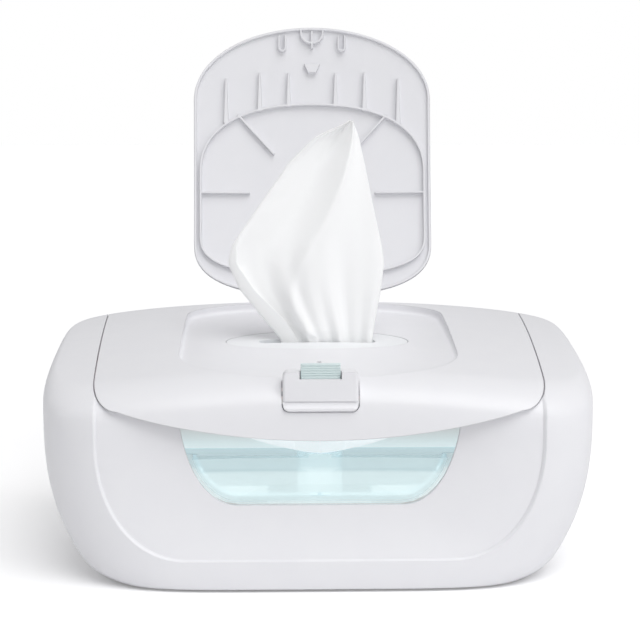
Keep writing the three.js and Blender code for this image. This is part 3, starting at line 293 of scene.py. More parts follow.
def rounded_box(half, front, back, corner, steps=9):
    return np.vstack([
        arc(half - corner, back - corner, corner, 0, 90, steps),
        arc(-half + corner, back - corner, corner, 90, 180, steps),
        arc(-half + corner, front + corner, corner, 180, 270, steps),
        arc(half - corner, front + corner, corner, 270, 360, steps),
    ])


def block(name, x0, x1, y0, y1, z0, z1):
    return prism(name, [(x0, y0), (x1, y0), (x1, y1), (x0, y1)], z0, z1)


def rod_x(name, x0, x1, y, z, radius, steps=40):
    return prism(name, arc(y, z, radius, 0, 360, steps + 1)[:-1], x0, x1, "X")


def settle(piece):
    """Turns a piece with its modifiers into a plain mesh."""
    evaluated = piece.evaluated_get(bpy.context.evaluated_depsgraph_get())
    mesh = bpy.data.meshes.new_from_object(evaluated)
    piece.modifiers.clear()
    piece.data = mesh
    return piece


def combine(blank, operation, *others):
    """Joins, cuts or keeps what is common, and removes the other solids."""
    for other in others:
        step = blank.modifiers.new(operation.lower(), "BOOLEAN")
        step.operation = operation
        step.solver = "MANIFOLD"
        step.object = other
    settle(blank)
    for other in others:
        bpy.data.objects.remove(other)
    return blank


def smooth(piece, degrees=32):
    piece.data.shade_smooth()
    piece.data.set_sharp_from_angle(angle=math.radians(degrees))
    return piece


CREASE_HALF = 120
CREASE_TOP = 80
CREASE_BOTTOM = 17
CREASE_FLAT = 72
SCOOP_DEPTH = 11
SCOOP_POWER = 2.4
SCOOP_CENTRE = 84
CREASE_STEP = 1.5
CREASE_STEP_SHARE = 0.0135


def bezier(a, b, c, d, steps):
    t = np.linspace(0, 1, steps, endpoint=False)[:, None]
    a, b, c, d = (np.array(p, dtype=float) for p in (a, b, c, d))
    return (1 - t) ** 3 * a + 3 * t * (1 - t) ** 2 * b + 3 * t ** 2 * (1 - t) * c + t ** 3 * d


def line(a, b, steps):
    t = np.linspace(0, 1, steps, endpoint=False)[:, None]
    return (1 - t) * np.array(a, dtype=float) + t * np.array(b, dtype=float)


def crease(grow):
    """Outline of the dished front, seen from the front."""
    half, low, top = CREASE_HALF + grow, CREASE_BOTTOM - grow, HEIGHT - 12
    right = [
        bezier((CREASE_FLAT, low), (99 + grow, low), (half, 42), (half, CREASE_TOP), 30),
        line((half, CREASE_TOP), (half, top), 10),
        line((half, top), (0, top), 24),
    ]
    right = np.vstack([line((0, low), (CREASE_FLAT, low), 16), *right])
    left = right[1:][::-1] * [-1, 1]
    return np.vstack([right, [[0, top]], left])


def scoop(name, grow, depth):
    """What the dished front takes away: a short step at the crease and a shallow dish inside it."""
    outline = crease(grow)
    centre = np.array([0, SCOOP_CENTRE])
    rings = [np.stack([outline[:, 0], np.full(len(outline), -DEPTH), outline[:, 1]], axis=1)]
    for scale in [1, 0.9955, 0.991, 0.9865, 0.975, *np.linspace(0.96, 0.04, 30)]:
        px, pz = (centre + scale * (outline - centre)).T
        edge = CREASE_STEP * np.clip((1 - scale) / CREASE_STEP_SHARE, 0, 1) ** 1.5
        dish = edge + (depth - CREASE_STEP) * (1 - scale ** SCOOP_POWER)
        rim = depth - SCOOP_DEPTH if scale == 1 else 0
        rings.append(np.stack([px, face_y(px, pz) + dish + rim, pz], axis=1))
    return loft(name, rings)


LID_EDGE = 82.6
LID_EDGE_RISE = 15.4
LID_EDGE_REACH = 109
LID_BACK = 100
LID_HALF_FRONT = 120
LID_HALF_GAIN = 8
LID_CORNER = 13


def parting_z(x, y):
    """Height of the lid's lower edge, lowest in the middle of the front."""
    back = np.clip((y + DEPTH / 2) / DEPTH, 0, 1)
    front = LID_EDGE + LID_EDGE_RISE * (x / LID_EDGE_REACH) ** 2
    return front + (LID_BACK - front) * back ** 1.5


def lid_zone(name, grow, drop=None):
    """The space of the main lid, grown by a gap. Its lower edge can drop by a measure of its own."""
    drop = grow if drop is None else drop
    rings = []
    for y in np.linspace(-115, 115, 47):
        half = LID_HALF_FRONT + LID_HALF_GAIN * (y + DEPTH / 2) / DEPTH + grow
        turn = half - LID_CORNER
        floor_at_turn = parting_z(turn, y) - drop
        swing = np.radians(np.linspace(0, 90, 12))
        corner_x, corner_z = LID_CORNER * np.cos(swing), floor_at_turn + LID_CORNER * (1 - np.sin(swing))
        x = np.linspace(-turn, turn, 61)[1:-1]
        section = np.vstack([
            np.stack([-turn - corner_x, corner_z], axis=1),
            np.stack([x, parting_z(x, y) - drop], axis=1),
            np.stack([turn + corner_x, corner_z], axis=1)[::-1],
            line((half, HEIGHT + 30), (-half, HEIGHT + 30), 40),
            [[-half, HEIGHT + 30]],
        ])
        rings.append(np.stack([section[:, 0], np.full(len(section), y), section[:, 1]], axis=1))
    return loft(name, rings)


WINDOW_HALF = 76
WINDOW_BOTTOM = 45.7
WINDOW_TOP = 111


def window_outline(grow):
    half, low = WINDOW_HALF + grow, WINDOW_BOTTOM - grow
    return np.vstack([
        bezier((-half, WINDOW_TOP), (-half, 66), (-60 - grow, low), (-44, low), 40),
        bezier((44, low), (60 + grow, low), (half, 66), (half, WINDOW_TOP), 40),
        [[half, WINDOW_TOP]],
    ])


MAIN_AXIS = (103.5, 108)
MAIN_ARM_X = 76
LUG_OFFSET = 7.5
LUG_HALF = 3
KNUCKLE = 4
PIN_BORE = 1.9
FLOOR_GAP = 1.5
JACK_Z = 24
JACK_BORE = 4.9

housing = envelope("housing_shell", 0)
cavity = combine(envelope("cavity", WALL), "DIFFERENCE", scoop("scoop_back", WALL, SCOOP_DEPTH + WALL))
combine(
    housing,
    "DIFFERENCE",
    scoop("scoop_front", 0, SCOOP_DEPTH),
    cavity,
    lid_zone("lid_seat", SEAM),
    block("under_floor", -200, 200, -200, 200, -20, FLOOR_GAP),
    prism("under_opening", rounded_box(125, -70, 70, 40), -5, 10),
    prism("window_cut", window_outline(0), -DEPTH, -40, "Y"),
    prism("jack_cut", arc(0, JACK_Z, JACK_BORE, 0, 360, 41)[:-1], 70, 110, "Y"),
)
for side in (-1, 1):
    for end in (-LUG_OFFSET, LUG_OFFSET):
        x = side * MAIN_ARM_X + end
        y, z = MAIN_AXIS
        profile = [
            (95.6, 76),
            (y + KNUCKLE, 92),
            (y + KNUCKLE, z),
            (y - KNUCKLE, z),
            (y - 2.4, 100),
            (y - 2.4, 96),
            (95.6, 94),
        ]
        lug = prism("lug", profile, x - LUG_HALF, x + LUG_HALF, "X")
        combine(lug, "UNION", rod_x("boss", x - LUG_HALF, x + LUG_HALF, y, z, KNUCKLE))
        combine(lug, "DIFFERENCE", rod_x("bore", x - 5, x + 5, y, z, PIN_BORE))
        combine(housing, "UNION", lug)
smooth(housing)


# Moulded plastic: a colour with a very faint mottle, a wide soft highlight, and edges that the mould
# leaves about half a millimetre round. The housing, both lids and the latch are one glossy cool white ABS.
def plastic(name, colour, roughness, mottle, edge=0.5, mottle_size=14):
    made = bpy.data.materials.new(name)
    made.use_nodes = True
    tree = made.node_tree
    shader = tree.nodes["Principled BSDF"]
    place = add_node(tree, "ShaderNodeTexCoord")
    cloud = add_node(
        tree,
        "ShaderNodeTexNoise",
        {"Scale": 1 / (mottle_size * MM), "Detail": 3.0},
        {"Vector": place.outputs["Object"]},
    )
    tint = add_node(
        tree,
        "ShaderNodeMix",
        {"data_type": "RGBA", 6: linear(colour), 7: linear(mottle)},
        {0: cloud.outputs["Fac"]},
    )
    gloss = add_node(
        tree,
        "ShaderNodeMapRange",
        {"To Min": roughness - 0.03, "To Max": roughness + 0.03},
        {"Value": cloud.outputs["Fac"]},
    )
    rounded = add_node(tree, "ShaderNodeBevel", {"samples": 4, "Radius": edge * MM})
    tree.links.new(tint.outputs[2], shader.inputs["Base Color"])
    tree.links.new(gloss.outputs[0], shader.inputs["Roughness"])
    tree.links.new(rounded.outputs[0], shader.inputs["Normal"])
    return made


abs_white = plastic("abs_white_gloss", "#E9E9EC", 0.4, "#E6E6EA", edge=0.9)


def dress(piece, material, body, slot, *nodes):
    """Gives a piece its material, and the CAD body and nodes that it stands for. The slot is not used."""
    piece.data.materials.clear()
    piece.data.materials.append(material)
    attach(piece, body)
    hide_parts(*nodes)


dress(housing, abs_white, "base", "white_shell", "outer_housing")


# Window pane: clear polished polycarbonate behind the front, curved with it and held by its rim.
# Only faces turned to the eye shine, so that the tray behind it stays clear to see from every side.
def front_layer(name, outline, near, far):
    blank = prism(name, outline, -100, -60, "Y")
    combine(blank, "INTERSECT", scoop("far_side", WALL, SCOOP_DEPTH + far))
    return combine(blank, "DIFFERENCE", scoop("near_side", WALL, SCOOP_DEPTH + near))


PANE = 1.6
PANE_LAP = 4
SEAT = 0.3
pane = front_layer("clear_pane", window_outline(PANE_LAP), WALL + SEAT, WALL + SEAT + PANE)
combine(pane, "DIFFERENCE", lid_zone("pane_top", SEAM + SEAT))
smooth(pane)

polycarbonate = bpy.data.materials.new("polycarbonate_clear")
polycarbonate.use_nodes = True
pane_tree = polycarbonate.node_tree
pane_tree.nodes.remove(pane_tree.nodes["Principled BSDF"])
pane_gloss = add_node(pane_tree, "ShaderNodeBsdfGlossy", {"Color": linear("#FFFFFF"), "Roughness": 0.04})
pane_clear = add_node(pane_tree, "ShaderNodeBsdfTransparent", {"Color": linear("#F6FAFA")})
pane_edge = add_node(pane_tree, "ShaderNodeFresnel", {"IOR": 1.58})
pane_side = add_node(pane_tree, "ShaderNodeNewGeometry")
pane_front = add_node(
    pane_tree,
    "ShaderNodeMath",
    {"operation": "SUBTRACT", 0: 1.0},
    {1: pane_side.outputs["Backfacing"]},
)
pane_shine = add_node(
    pane_tree,
    "ShaderNodeMath",
    {"operation": "MULTIPLY"},
    {0: pane_edge.outputs[0], 1: pane_front.outputs[0]},
)
pane_mix = add_node(
    pane_tree,
    "ShaderNodeMixShader",
    links={0: pane_shine.outputs[0], 1: pane_clear.outputs[0], 2: pane_gloss.outputs[0]},
)
pane_tree.links.new(pane_mix.outputs[0], pane_tree.nodes["Material Output"].inputs["Surface"])
dress(pane, polycarbonate, "base", "clear_pane", "window_pane")


# Main lid: one glossy white ABS moulding that wraps over the top and down the front, hinged at the back.
# A shallow dish takes the flip lid, an oval hole takes the dispensing insert, and the latch sits in a
# notch in its front edge.
FLIP_WIDTH = 151
FLIP_LENGTH = 172
FLIP_BACK = 86
FLIP_FRONT = FLIP_BACK - FLIP_LENGTH
FLIP_RIB = 2.8
FLIP_AXIS = (97, 121.5)
FLIP_ARM_X = 28
RECESS_PLAY = 1.8
RECESS_DEPTH_FRONT = 1.5
RECESS_DEPTH_GAIN = 3.5
PLAY = 0.5
MOUTH = (52, 22)
MOUTH_Y = -11
TAB_HALF = 20
TAB_BACK = -88.2
TAB_BOTTOM = 98.5
TRUNNION = (-90.3, 106.5)


def lobe(part, power):
    return np.sign(part) * np.abs(part) ** (2 / power)


def arch(half, front, back, front_length, back_length, front_power, back_power, steps=60):
    """A plan outline with straight sides and two round ends, each with a length and a fullness of its own."""
    swing = np.linspace(0, np.pi, steps)
    rear = np.stack([
        half * lobe(np.cos(swing), back_power),
        back - back_length + back_length * lobe(np.sin(swing), back_power),
    ], axis=1)
    swing = np.linspace(np.pi, 2 * np.pi, steps)
    fore = np.stack([
        half * lobe(np.cos(swing), front_power),
        front + front_length + front_length * lobe(np.sin(swing), front_power),
    ], axis=1)
    sides = [line(rear[-1], fore[0], 16)[1:], line(fore[-1], rear[0], 16)[1:]]
    return np.vstack([rear, sides[0], fore, sides[1]])


def flip_outline(grow):
    half, front, back = FLIP_WIDTH / 2 + grow, FLIP_FRONT - grow, FLIP_BACK + grow
    return arch(half, front, back, 46 + grow, 34 + grow, 2, 2.6)


def floor_z(x, y):
    """Height of the floor of the lid's dish."""
    back = np.clip((y - FLIP_FRONT) / FLIP_LENGTH, 0, 1)
    return crown(x, y) - RECESS_DEPTH_FRONT - RECESS_DEPTH_GAIN * back


def pad(name, outline, low, high, scales=None, round_foot=0):
    """A solid over a plan outline, between two surfaces that give a height at x and y."""
    scales = np.linspace(1, 0.02, 22) if scales is None else scales
    centre = outline.mean(axis=0)
    reach = np.linalg.norm(outline - centre, axis=1).mean()

    def ring(scale, height, foot):
        x, y = (centre + scale * (outline - centre)).T
        inside = (1 - scale) * reach
        lift = foot - math.sqrt(foot ** 2 - (foot - inside) ** 2) if inside < foot else 0
        return np.stack([x, y, height(x, y) + lift + 0 * x], axis=1)

    lower = [ring(scale, low, round_foot) for scale in scales[::-1]]
    return loft(name, [*lower, *[ring(scale, high, 0) for scale in scales]])


def ellipse(half_x, half_y):
    swing = np.linspace(0, 2 * np.pi, 96, endpoint=False)
    return np.stack([half_x * np.cos(swing), MOUTH_Y + half_y * np.sin(swing)], axis=1)


def lid_wall(x, y):
    return floor_z(x, y) - WALL


def high_above(x, y):
    return 0 * x + 220


lid = envelope("main_lid_shell", 0)
combine(lid, "INTERSECT", lid_zone("lid_edge", 0))
hollow = combine(envelope("lid_hollow", WALL), "INTERSECT", lid_zone("hollow_edge", -WALL, 20))
combine(hollow, "DIFFERENCE", pad("recess_wall", flip_outline(RECESS_PLAY + WALL), lid_wall, high_above))
fillet_scales = 1 - np.array([0, 0.1, 0.3, 0.6, 1, 1.6, 2.5]) / 75
dish_scales = np.concatenate([fillet_scales, np.linspace(0.95, 0.02, 20)])
recess = pad("recess", flip_outline(RECESS_PLAY), floor_z, high_above, dish_scales, round_foot=2.5)
combine(lid, "DIFFERENCE", hollow, recess)
for side in (-1, 1):
    x0, x1 = sorted((side * (TAB_HALF + PLAY), side * (TAB_HALF + 4.7)))
    cheek = combine(block("cheek", x0, x1, -97, -84, 106, 125), "INTERSECT", envelope("cheek_face", 0.02))
    combine(lid, "UNION", cheek)
    x = side * MAIN_ARM_X
    y, z = MAIN_AXIS
    profile = [(90, 102), (94, 101), (y, z - KNUCKLE), (y, z + KNUCKLE), (90, z + 7)]
    arm = prism("arm", profile, x - 4, x + 4, "X")
    combine(arm, "UNION", rod_x("arm_boss", x - 4, x + 4, y, z, KNUCKLE))
    combine(arm, "DIFFERENCE", rod_x("arm_bore", x - 6, x + 6, y, z, PIN_BORE))
    combine(lid, "UNION", arm)
    y, z = FLIP_AXIS
    for end in (-9.5, 9.5):
        x = side * FLIP_ARM_X + end
        profile = [(90, 108), (96, 109), (y + KNUCKLE, z - KNUCKLE), (y + KNUCKLE, z), (90, z)]
        ear = prism("ear", profile, x - LUG_HALF, x + LUG_HALF, "X")
        combine(ear, "UNION", rod_x("ear_boss", x - LUG_HALF, x + LUG_HALF, y, z, KNUCKLE))
        combine(lid, "UNION", ear)
    x = side * FLIP_ARM_X
    combine(lid, "DIFFERENCE", block("arm_notch", x - 6.5, x + 6.5, 84, 120, z - 5.5, 160))
notch_sides = rounded_box(TAB_HALF + PLAY, TAB_BOTTOM - PLAY, 200, 4)
combine(
    lid,
    "DIFFERENCE",
    prism("tab_notch", notch_sides, -120, TAB_BACK + 1.5, "Y"),
    block("spring_room", -8.5, 8.5, FLIP_AXIS[0] - 4.4, 120, FLIP_AXIS[1] - 4.4, 160),
    prism("mouth", ellipse(*MOUTH), 90, 180),
    rod_x("pin_bore", -60, 60, *FLIP_AXIS, PIN_BORE),
    rod_x("trunnion_bore", -22.9, 22.9, *TRUNNION, 1.6),
    prism("catch_hole", arc(0, FLIP_FRONT + 26.5, 1.3, 0, 360, 25)[:-1], 90, 130),
)
smooth(lid)
dress(lid, abs_white, "main_lid", "white_shell", "main_lid")


# Dispensing insert: a soft white silicone oval let into the lid's dish, with the slot that grips a wipe.
# A fine groove shows round it, its top lies a hair below the dish, and a flange holds it from below.
# SLOT is the slot's half length, its half width and its place in depth.
INSERT_THICK = 2
INSERT_GAP = 0.8
FLANGE = 4


def insert_low(x, y):
    return floor_z(x, y) - WALL - INSERT_THICK - INSERT_GAP


def insert_top(x, y):
    return floor_z(x, y) - 0.15


def insert_ledge(x, y):
    return floor_z(x, y) - WALL - INSERT_GAP


SLOT = (33, 4, -14)
insert = pad("slot_insert", ellipse(MOUTH[0] - SEAT, MOUTH[1] - SEAT), insert_low, insert_top)
flange = pad("insert_flange", ellipse(MOUTH[0] + FLANGE, MOUTH[1] + FLANGE), insert_low, insert_ledge)
slot_outline = rounded_box(SLOT[0], SLOT[2] - SLOT[1], SLOT[2] + SLOT[1], 3.5)
combine(insert, "UNION", flange)
combine(insert, "DIFFERENCE", prism("slot_cut", slot_outline, 90, 160))
smooth(insert)
silicone = plastic("silicone_white", "#EFF0F2", 0.42, "#E9EBEE", edge=0.6)
dress(insert, silicone, "main_lid", "silicone", "dispensing_insert")


# Flip lid: a thin glossy white ABS plate with a rounded free end, open behind the wipe so that its
# underside shows. A raised oval ring, a low rim, tapered gussets, four spokes, a cup with two pockets
# and the catch hook stand on it. It is made shut and then turned open about its pin.
FLIP_THICK = 2.4
OPEN = math.radians(106)
RIB_THICK = 1.3
SPOKE_THICK = 1.2
RING_FRONT = FLIP_FRONT + 48.5


def under_z(x, y):
    return floor_z(x, y) + FLIP_RIB + PLAY


def over_z(x, y):
    return under_z(x, y) + FLIP_THICK


def tall_z(x, y):
    return floor_z(x, y) + PLAY


def rim_z(x, y):
    return under_z(x, y) - 1.6


def root_z(x, y):
    return under_z(x, y) + 0.6


def ring_outline(grow):
    half, front, back = 71.9 + grow, RING_FRONT - grow, FLIP_BACK - 13 + grow
    return arch(half, front, back, 44 + grow, 26 + grow, 2.3, 2.8)


def wall(outside, inside, name):
    """A wall that stands between two plan outlines."""
    outer = prism(name, outside, 60, 200)
    return combine(outer, "DIFFERENCE", prism("inside", inside, 50, 210))


def bar(name, x0, y0, x1, y1, width_0, width_1=None):
    """An upright rib between two plan points, with a width at each."""
    width_1 = width_0 if width_1 is None else width_1
    along = np.array([x1 - x0, y1 - y0])
    across = np.array([-along[1], along[0]]) / np.linalg.norm(along) / 2
    start, end = np.array([x0, y0]), np.array([x1, y1])
    corners = [
        start + across * width_0,
        end + across * width_1,
        end - across * width_1,
        start - across * width_0,
    ]
    return prism(name, corners, 60, 200)


GUSSETS = ((15, 21, 1.5), (33.5, 24, 4.5), (55, 28, 12.5))
SPOKES = ((47.5, 56, 24.5, 81), (71.4, 106, 40, 106))
standing = wall(ring_outline(0), ring_outline(-RIB_THICK), "flip_ribs")
for side in (-1, 1):
    for x, length, back in GUSSETS:
        foot = RING_FRONT + back
        combine(standing, "UNION", bar("gusset", side * x, foot + 0.6, side * x, foot - length, 3, 1))
    for x0, y0, x1, y1 in SPOKES:
        spoke = bar("spoke", side * x0, FLIP_FRONT + y0, side * x1, FLIP_FRONT + y1, SPOKE_THICK)
        combine(standing, "UNION", spoke)
extras = []
for side in (-1, 1):
    x, y = side * 19, FLIP_FRONT + 4.5
    pocket = wall(rounded_box(2.6, y, y + 11, 2.4), rounded_box(1.5, y - 3, y + 9.9, 1.4), "pocket")
    pocket.data.transform(Matrix.Translation((x * MM, 0, 0)))
    extras.append(pocket)
cup_outer = rounded_box(7.6, FLIP_FRONT - 4, FLIP_FRONT + 10.5, 7)
cup = wall(cup_outer, rounded_box(6.4, FLIP_FRONT - 8, FLIP_FRONT + 9.3, 6), "cup")
combine(cup, "DIFFERENCE", block("cup_mouth", -9, 9, FLIP_FRONT - 20, FLIP_FRONT + 2.2, 50, 220))
extras += [cup, bar("cup_rib", 0, FLIP_FRONT + 2.5, 0, FLIP_FRONT + 13.5, SPOKE_THICK)]
hook_sides = [(-5, 23.5), (5, 23.5), (2.5, 29), (-2.5, 29)]
extras.append(prism("catch_hook", [(x, FLIP_FRONT + y) for x, y in hook_sides], 60, 200))
band = pad("rib_band", flip_outline(-0.2), tall_z, root_z)
combine(standing, "INTERSECT", band)
for extra in extras:
    combine(extra, "INTERSECT", pad("extra_band", flip_outline(-0.2), tall_z, root_z))
rim = wall(flip_outline(-0.2), flip_outline(-1.7), "flip_rim")
combine(rim, "INTERSECT", pad("rim_band", flip_outline(-0.1), rim_z, root_z))
flip = pad("flip_lid_plate", flip_outline(0), under_z, over_z)
combine(flip, "UNION", rim, standing, *extras)
for side in (-1, 1):
    x = side * FLIP_ARM_X
    y, z = FLIP_AXIS
    profile = [(81, 124.8), (84.8, 124.8), (y, z - 3.4), (y + 1, z + 3.4), (88, 127.6), (81, 127.6)]
    arm = prism("flip_arm", profile, x - 6, x + 6, "X")
    combine(arm, "UNION", rod_x("flip_boss", x - 6, x + 6, y, z, 3.5))
    combine(flip, "UNION", arm)
combine(flip, "DIFFERENCE", rod_x("flip_bore", -60, 60, *FLIP_AXIS, PIN_BORE))
axis_point = Vector((0, FLIP_AXIS[0] + MIDDLE, FLIP_AXIS[1])) * MM
turned = Matrix.Translation(axis_point) @ Matrix.Rotation(-OPEN, 4, "X") @ Matrix.Translation(-axis_point)
flip.data.transform(turned)
smooth(flip)
dress(flip, abs_white, "flip_lid", "white_shell", "flip_lid")


# Latch tab: a white ABS block set in the lid's notch, with a soft lip along its foot to lift it by, a well
# for the button, and a hook behind that drops under the tub's strike. It swings on two moulded trunnions.
TAB_SILL = 115.5
TAB_TOP = 119.2
TAB_FRONT = -97.2
TAB_CORNER = 4
TOWER_LOW = 103.5
LIP_FRONT = -99.2
HOOK_HALF = 7
HOOK_LOW = 86
HOOK_FRONT = -92.2
BUTTON_HALF = 10.5
WELL_HALF = BUTTON_HALF + PLAY
WELL_FLOOR = 108
tab_outline = rounded_box(TAB_HALF, TAB_BOTTOM, TAB_SILL, TAB_CORNER)
tab = combine(prism("latch_block", tab_outline, -100, TAB_BACK, "Y"), "INTERSECT", envelope("tab_face", 0))
combine(tab, "DIFFERENCE", envelope("tab_behind", 3))
tower_plan = rounded_box(TAB_HALF, TAB_FRONT, TAB_BACK, 1.8)
tower = combine(
    prism("tower", tower_plan, TOWER_LOW, TAB_TOP),
    "INTERSECT",
    prism("tower_corners", rounded_box(TAB_HALF, 90, TAB_TOP, 3), TAB_FRONT - 1, TAB_BACK + 1, "Y"),
)
combine(tab, "UNION", tower)
lip_outline = rounded_box(TAB_HALF, TAB_BOTTOM, TAB_BOTTOM + 20, TAB_CORNER)
lip_side = [
    (LIP_FRONT, 98.8),
    (LIP_FRONT + 0.6, TAB_BOTTOM),
    (-94, TAB_BOTTOM),
    (-94, 103),
    (LIP_FRONT + 1, 101.2),
    (LIP_FRONT, 100.2),
]
lip = prism("lip", lip_outline, LIP_FRONT, -94, "Y")
combine(lip, "INTERSECT", prism("lip_side", lip_side, -30, 30, "X"))
combine(
    tab,
    "UNION",
    lip,
    block("shank", -HOOK_HALF, HOOK_HALF, HOOK_FRONT, -90, HOOK_LOW, WELL_FLOOR),
    rod_x("trunnions", -22.6, 22.6, *TRUNNION, 1.3),
    block("nose", -HOOK_HALF, HOOK_HALF, HOOK_FRONT, -87.6, HOOK_LOW, HOOK_LOW + 2),
)
combine(
    tab,
    "DIFFERENCE",
    block("button_well", -WELL_HALF, WELL_HALF, TAB_FRONT + 1.3, TAB_FRONT + 4.9, WELL_FLOOR, 160),
    block("button_mouth", -WELL_HALF, WELL_HALF, -105, TAB_FRONT + 2, TAB_SILL, 160),
)
smooth(tab)
dress(tab, abs_white, "latch", "white_shell", "latch_tab")


# Release button: glossy pale aqua ABS, with fine grooves across its face for the thumb.
# It slides down in the tab's well on its spring. The grooves are cut one pitch apart.
GROOVE_PITCH = 1.3
GROOVE_WIDTH = 0.45
GROOVE_LOW = 116.8
GROOVES = 5
BUTTON_LOW = 111
BUTTON_TOP = 123.4
button_plan = rounded_box(BUTTON_HALF, TAB_FRONT + 1.8, TAB_FRONT + 4.4, 0.8, 5)
button = prism("push_button", button_plan, BUTTON_LOW, BUTTON_TOP)
for k in range(GROOVES):
    z = GROOVE_LOW + k * GROOVE_PITCH
    groove = block("groove", -12, 12, TAB_FRONT, TAB_FRONT + 2.1, z, z + GROOVE_WIDTH)
    combine(button, "DIFFERENCE", groove)
smooth(button)
abs_aqua = plastic("abs_aqua_gloss", "#DBE9E9", 0.35, "#D7E6E7", edge=0.3)
dress(button, abs_aqua, "button", "aqua_button", "release_button")


# Wipe tray: a lift-out basin of translucent pale aqua polypropylene. Its front swells to the window with
# a darker rim band, low ledges at both sides, a divider rib and a pointed prow in the middle.
TUB_FRONT = -76
TRAY_HALF = 109
TRAY_FRONT = -73
TRAY_BACK = 75
TRAY_CORNER = 19
TRAY_LOW = 37.3
TRAY_RIM = 70
TRAY_WALL = 1.8
TRAY_PLAY = 1.4
TRAY_BEHIND = WALL + 2 * SEAT + PANE + PLAY
BAND_HEIGHT = 7.5
LEDGE_X = (28, 54)
LEDGE_LOW = 38.3
LEDGE_TOP = 52.5
tray_outline = rounded_box(TRAY_HALF, TRAY_FRONT, TRAY_BACK, TRAY_CORNER)
tray = prism("aqua_tray", tray_outline, TRAY_LOW, TRAY_RIM)
tray_nose = prism("tray_nose", window_outline(-TRAY_PLAY), -95, TUB_FRONT + 8, "Y")
combine(tray_nose, "INTERSECT", block("below_rim", -120, 120, -120, 0, 0, TRAY_RIM))
combine(tray, "UNION", tray_nose)
combine(tray, "DIFFERENCE", scoop("tray_face", WALL, SCOOP_DEPTH + TRAY_BEHIND))
nose_room = prism("nose_room", window_outline(-TRAY_PLAY - TRAY_WALL), -110, TUB_FRONT + 12, "Y")
combine(nose_room, "DIFFERENCE", scoop("nose_back", WALL, SCOOP_DEPTH + TRAY_BEHIND + TRAY_WALL))
room_outline = rounded_box(
    TRAY_HALF - TRAY_WALL,
    TRAY_FRONT + TRAY_WALL,
    TRAY_BACK - TRAY_WALL,
    TRAY_CORNER - TRAY_WALL,
)
combine(tray, "DIFFERENCE", nose_room, prism("tray_room", room_outline, TRAY_LOW + TRAY_WALL, 90))
tray_band = prism("rim_band", window_outline(-TRAY_PLAY), -95, TUB_FRONT, "Y")
band_space = block("band_height", -80, 80, -100, TUB_FRONT, TRAY_RIM - BAND_HEIGHT, TRAY_RIM)
combine(tray_band, "INTERSECT", band_space)
combine(tray_band, "DIFFERENCE", scoop("band_face", WALL, SCOOP_DEPTH + TRAY_BEHIND))
prow = prism("prow", [(-12, TUB_FRONT + 2), (0, -90), (12, TUB_FRONT + 2)], WINDOW_BOTTOM + 2, 72)
combine(prow, "DIFFERENCE", scoop("prow_face", WALL, SCOOP_DEPTH + TRAY_BEHIND))
combine(tray, "UNION", tray_band, prow, block("divider", -1, 1, -72.5, 74, LEDGE_LOW, LEDGE_TOP))
for side in (-1, 1):
    x0, x1 = sorted(side * x for x in LEDGE_X)
    ledge = block("ledge", x0, x1, TUB_FRONT + 2, TUB_FRONT + 16, LEDGE_LOW, LEDGE_TOP)
    combine(tray, "UNION", ledge)
smooth(tray)

# Moulded polypropylene is milky: slanting walls look deeper in colour than flat ones, partly from the longer
# way through the plastic and partly as painted shade that draws the ledges and divider, and the rim band the
# deepest. Its glow stands for the daylight that comes through the shut tub. The upper walls behind the front
# take a greyer pink and less glow: that is painted shade.
polypropylene = bpy.data.materials.new("polypropylene_aqua")
polypropylene.use_nodes = True
aqua = polypropylene.node_tree
tray_shader = aqua.nodes["Principled BSDF"]
tray_shader.inputs["Roughness"].default_value = 0.3
tray_shader.inputs["IOR"].default_value = 1.49
tray_place = add_node(aqua, "ShaderNodeTexCoord")
tray_axes = add_node(aqua, "ShaderNodeSeparateXYZ", links={0: tray_place.outputs["Object"]})
# Darker where walls turn from the eye: partly the longer way through milky plastic, partly painted shade.
tray_slant_shade = add_node(aqua, "ShaderNodeLayerWeight", {"Blend": 0.5})
rim_band = add_node(
    aqua,
    "ShaderNodeMapRange",
    {"From Min": 0.0615, "From Max": 0.0635, "To Max": 0.35},
    {"Value": tray_axes.outputs["Z"]},
)
tray_depth_and_shade = add_node(
    aqua,
    "ShaderNodeMath",
    {"operation": "ADD", "use_clamp": True},
    {0: tray_slant_shade.outputs["Facing"], 1: rim_band.outputs[0]},
)
tray_tint = add_node(
    aqua,
    "ShaderNodeMix",
    {"data_type": "RGBA", 6: linear("#E7ECED"), 7: linear("#A4BBC2")},
    {0: tray_depth_and_shade.outputs[0]},
)

wall_front = (MIDDLE + TUB_FRONT) * MM
tray_wall = add_node(
    aqua,
    "ShaderNodeMapRange",
    {"From Min": wall_front + 0.001, "From Max": wall_front + 0.002, "To Min": 0.4, "To Max": 1.0},
    {"Value": tray_axes.outputs["Y"]},
)
tray_rise = add_node(
    aqua,
    "ShaderNodeMapRange",
    {"From Min": 0.04, "From Max": 0.056},
    {"Value": tray_axes.outputs["Z"]},
)
tray_back = add_node(
    aqua,
    "ShaderNodeMapRange",
    {"From Min": wall_front + 0.022, "From Max": wall_front + 0.03},
    {"Value": tray_axes.outputs["Y"]},
)
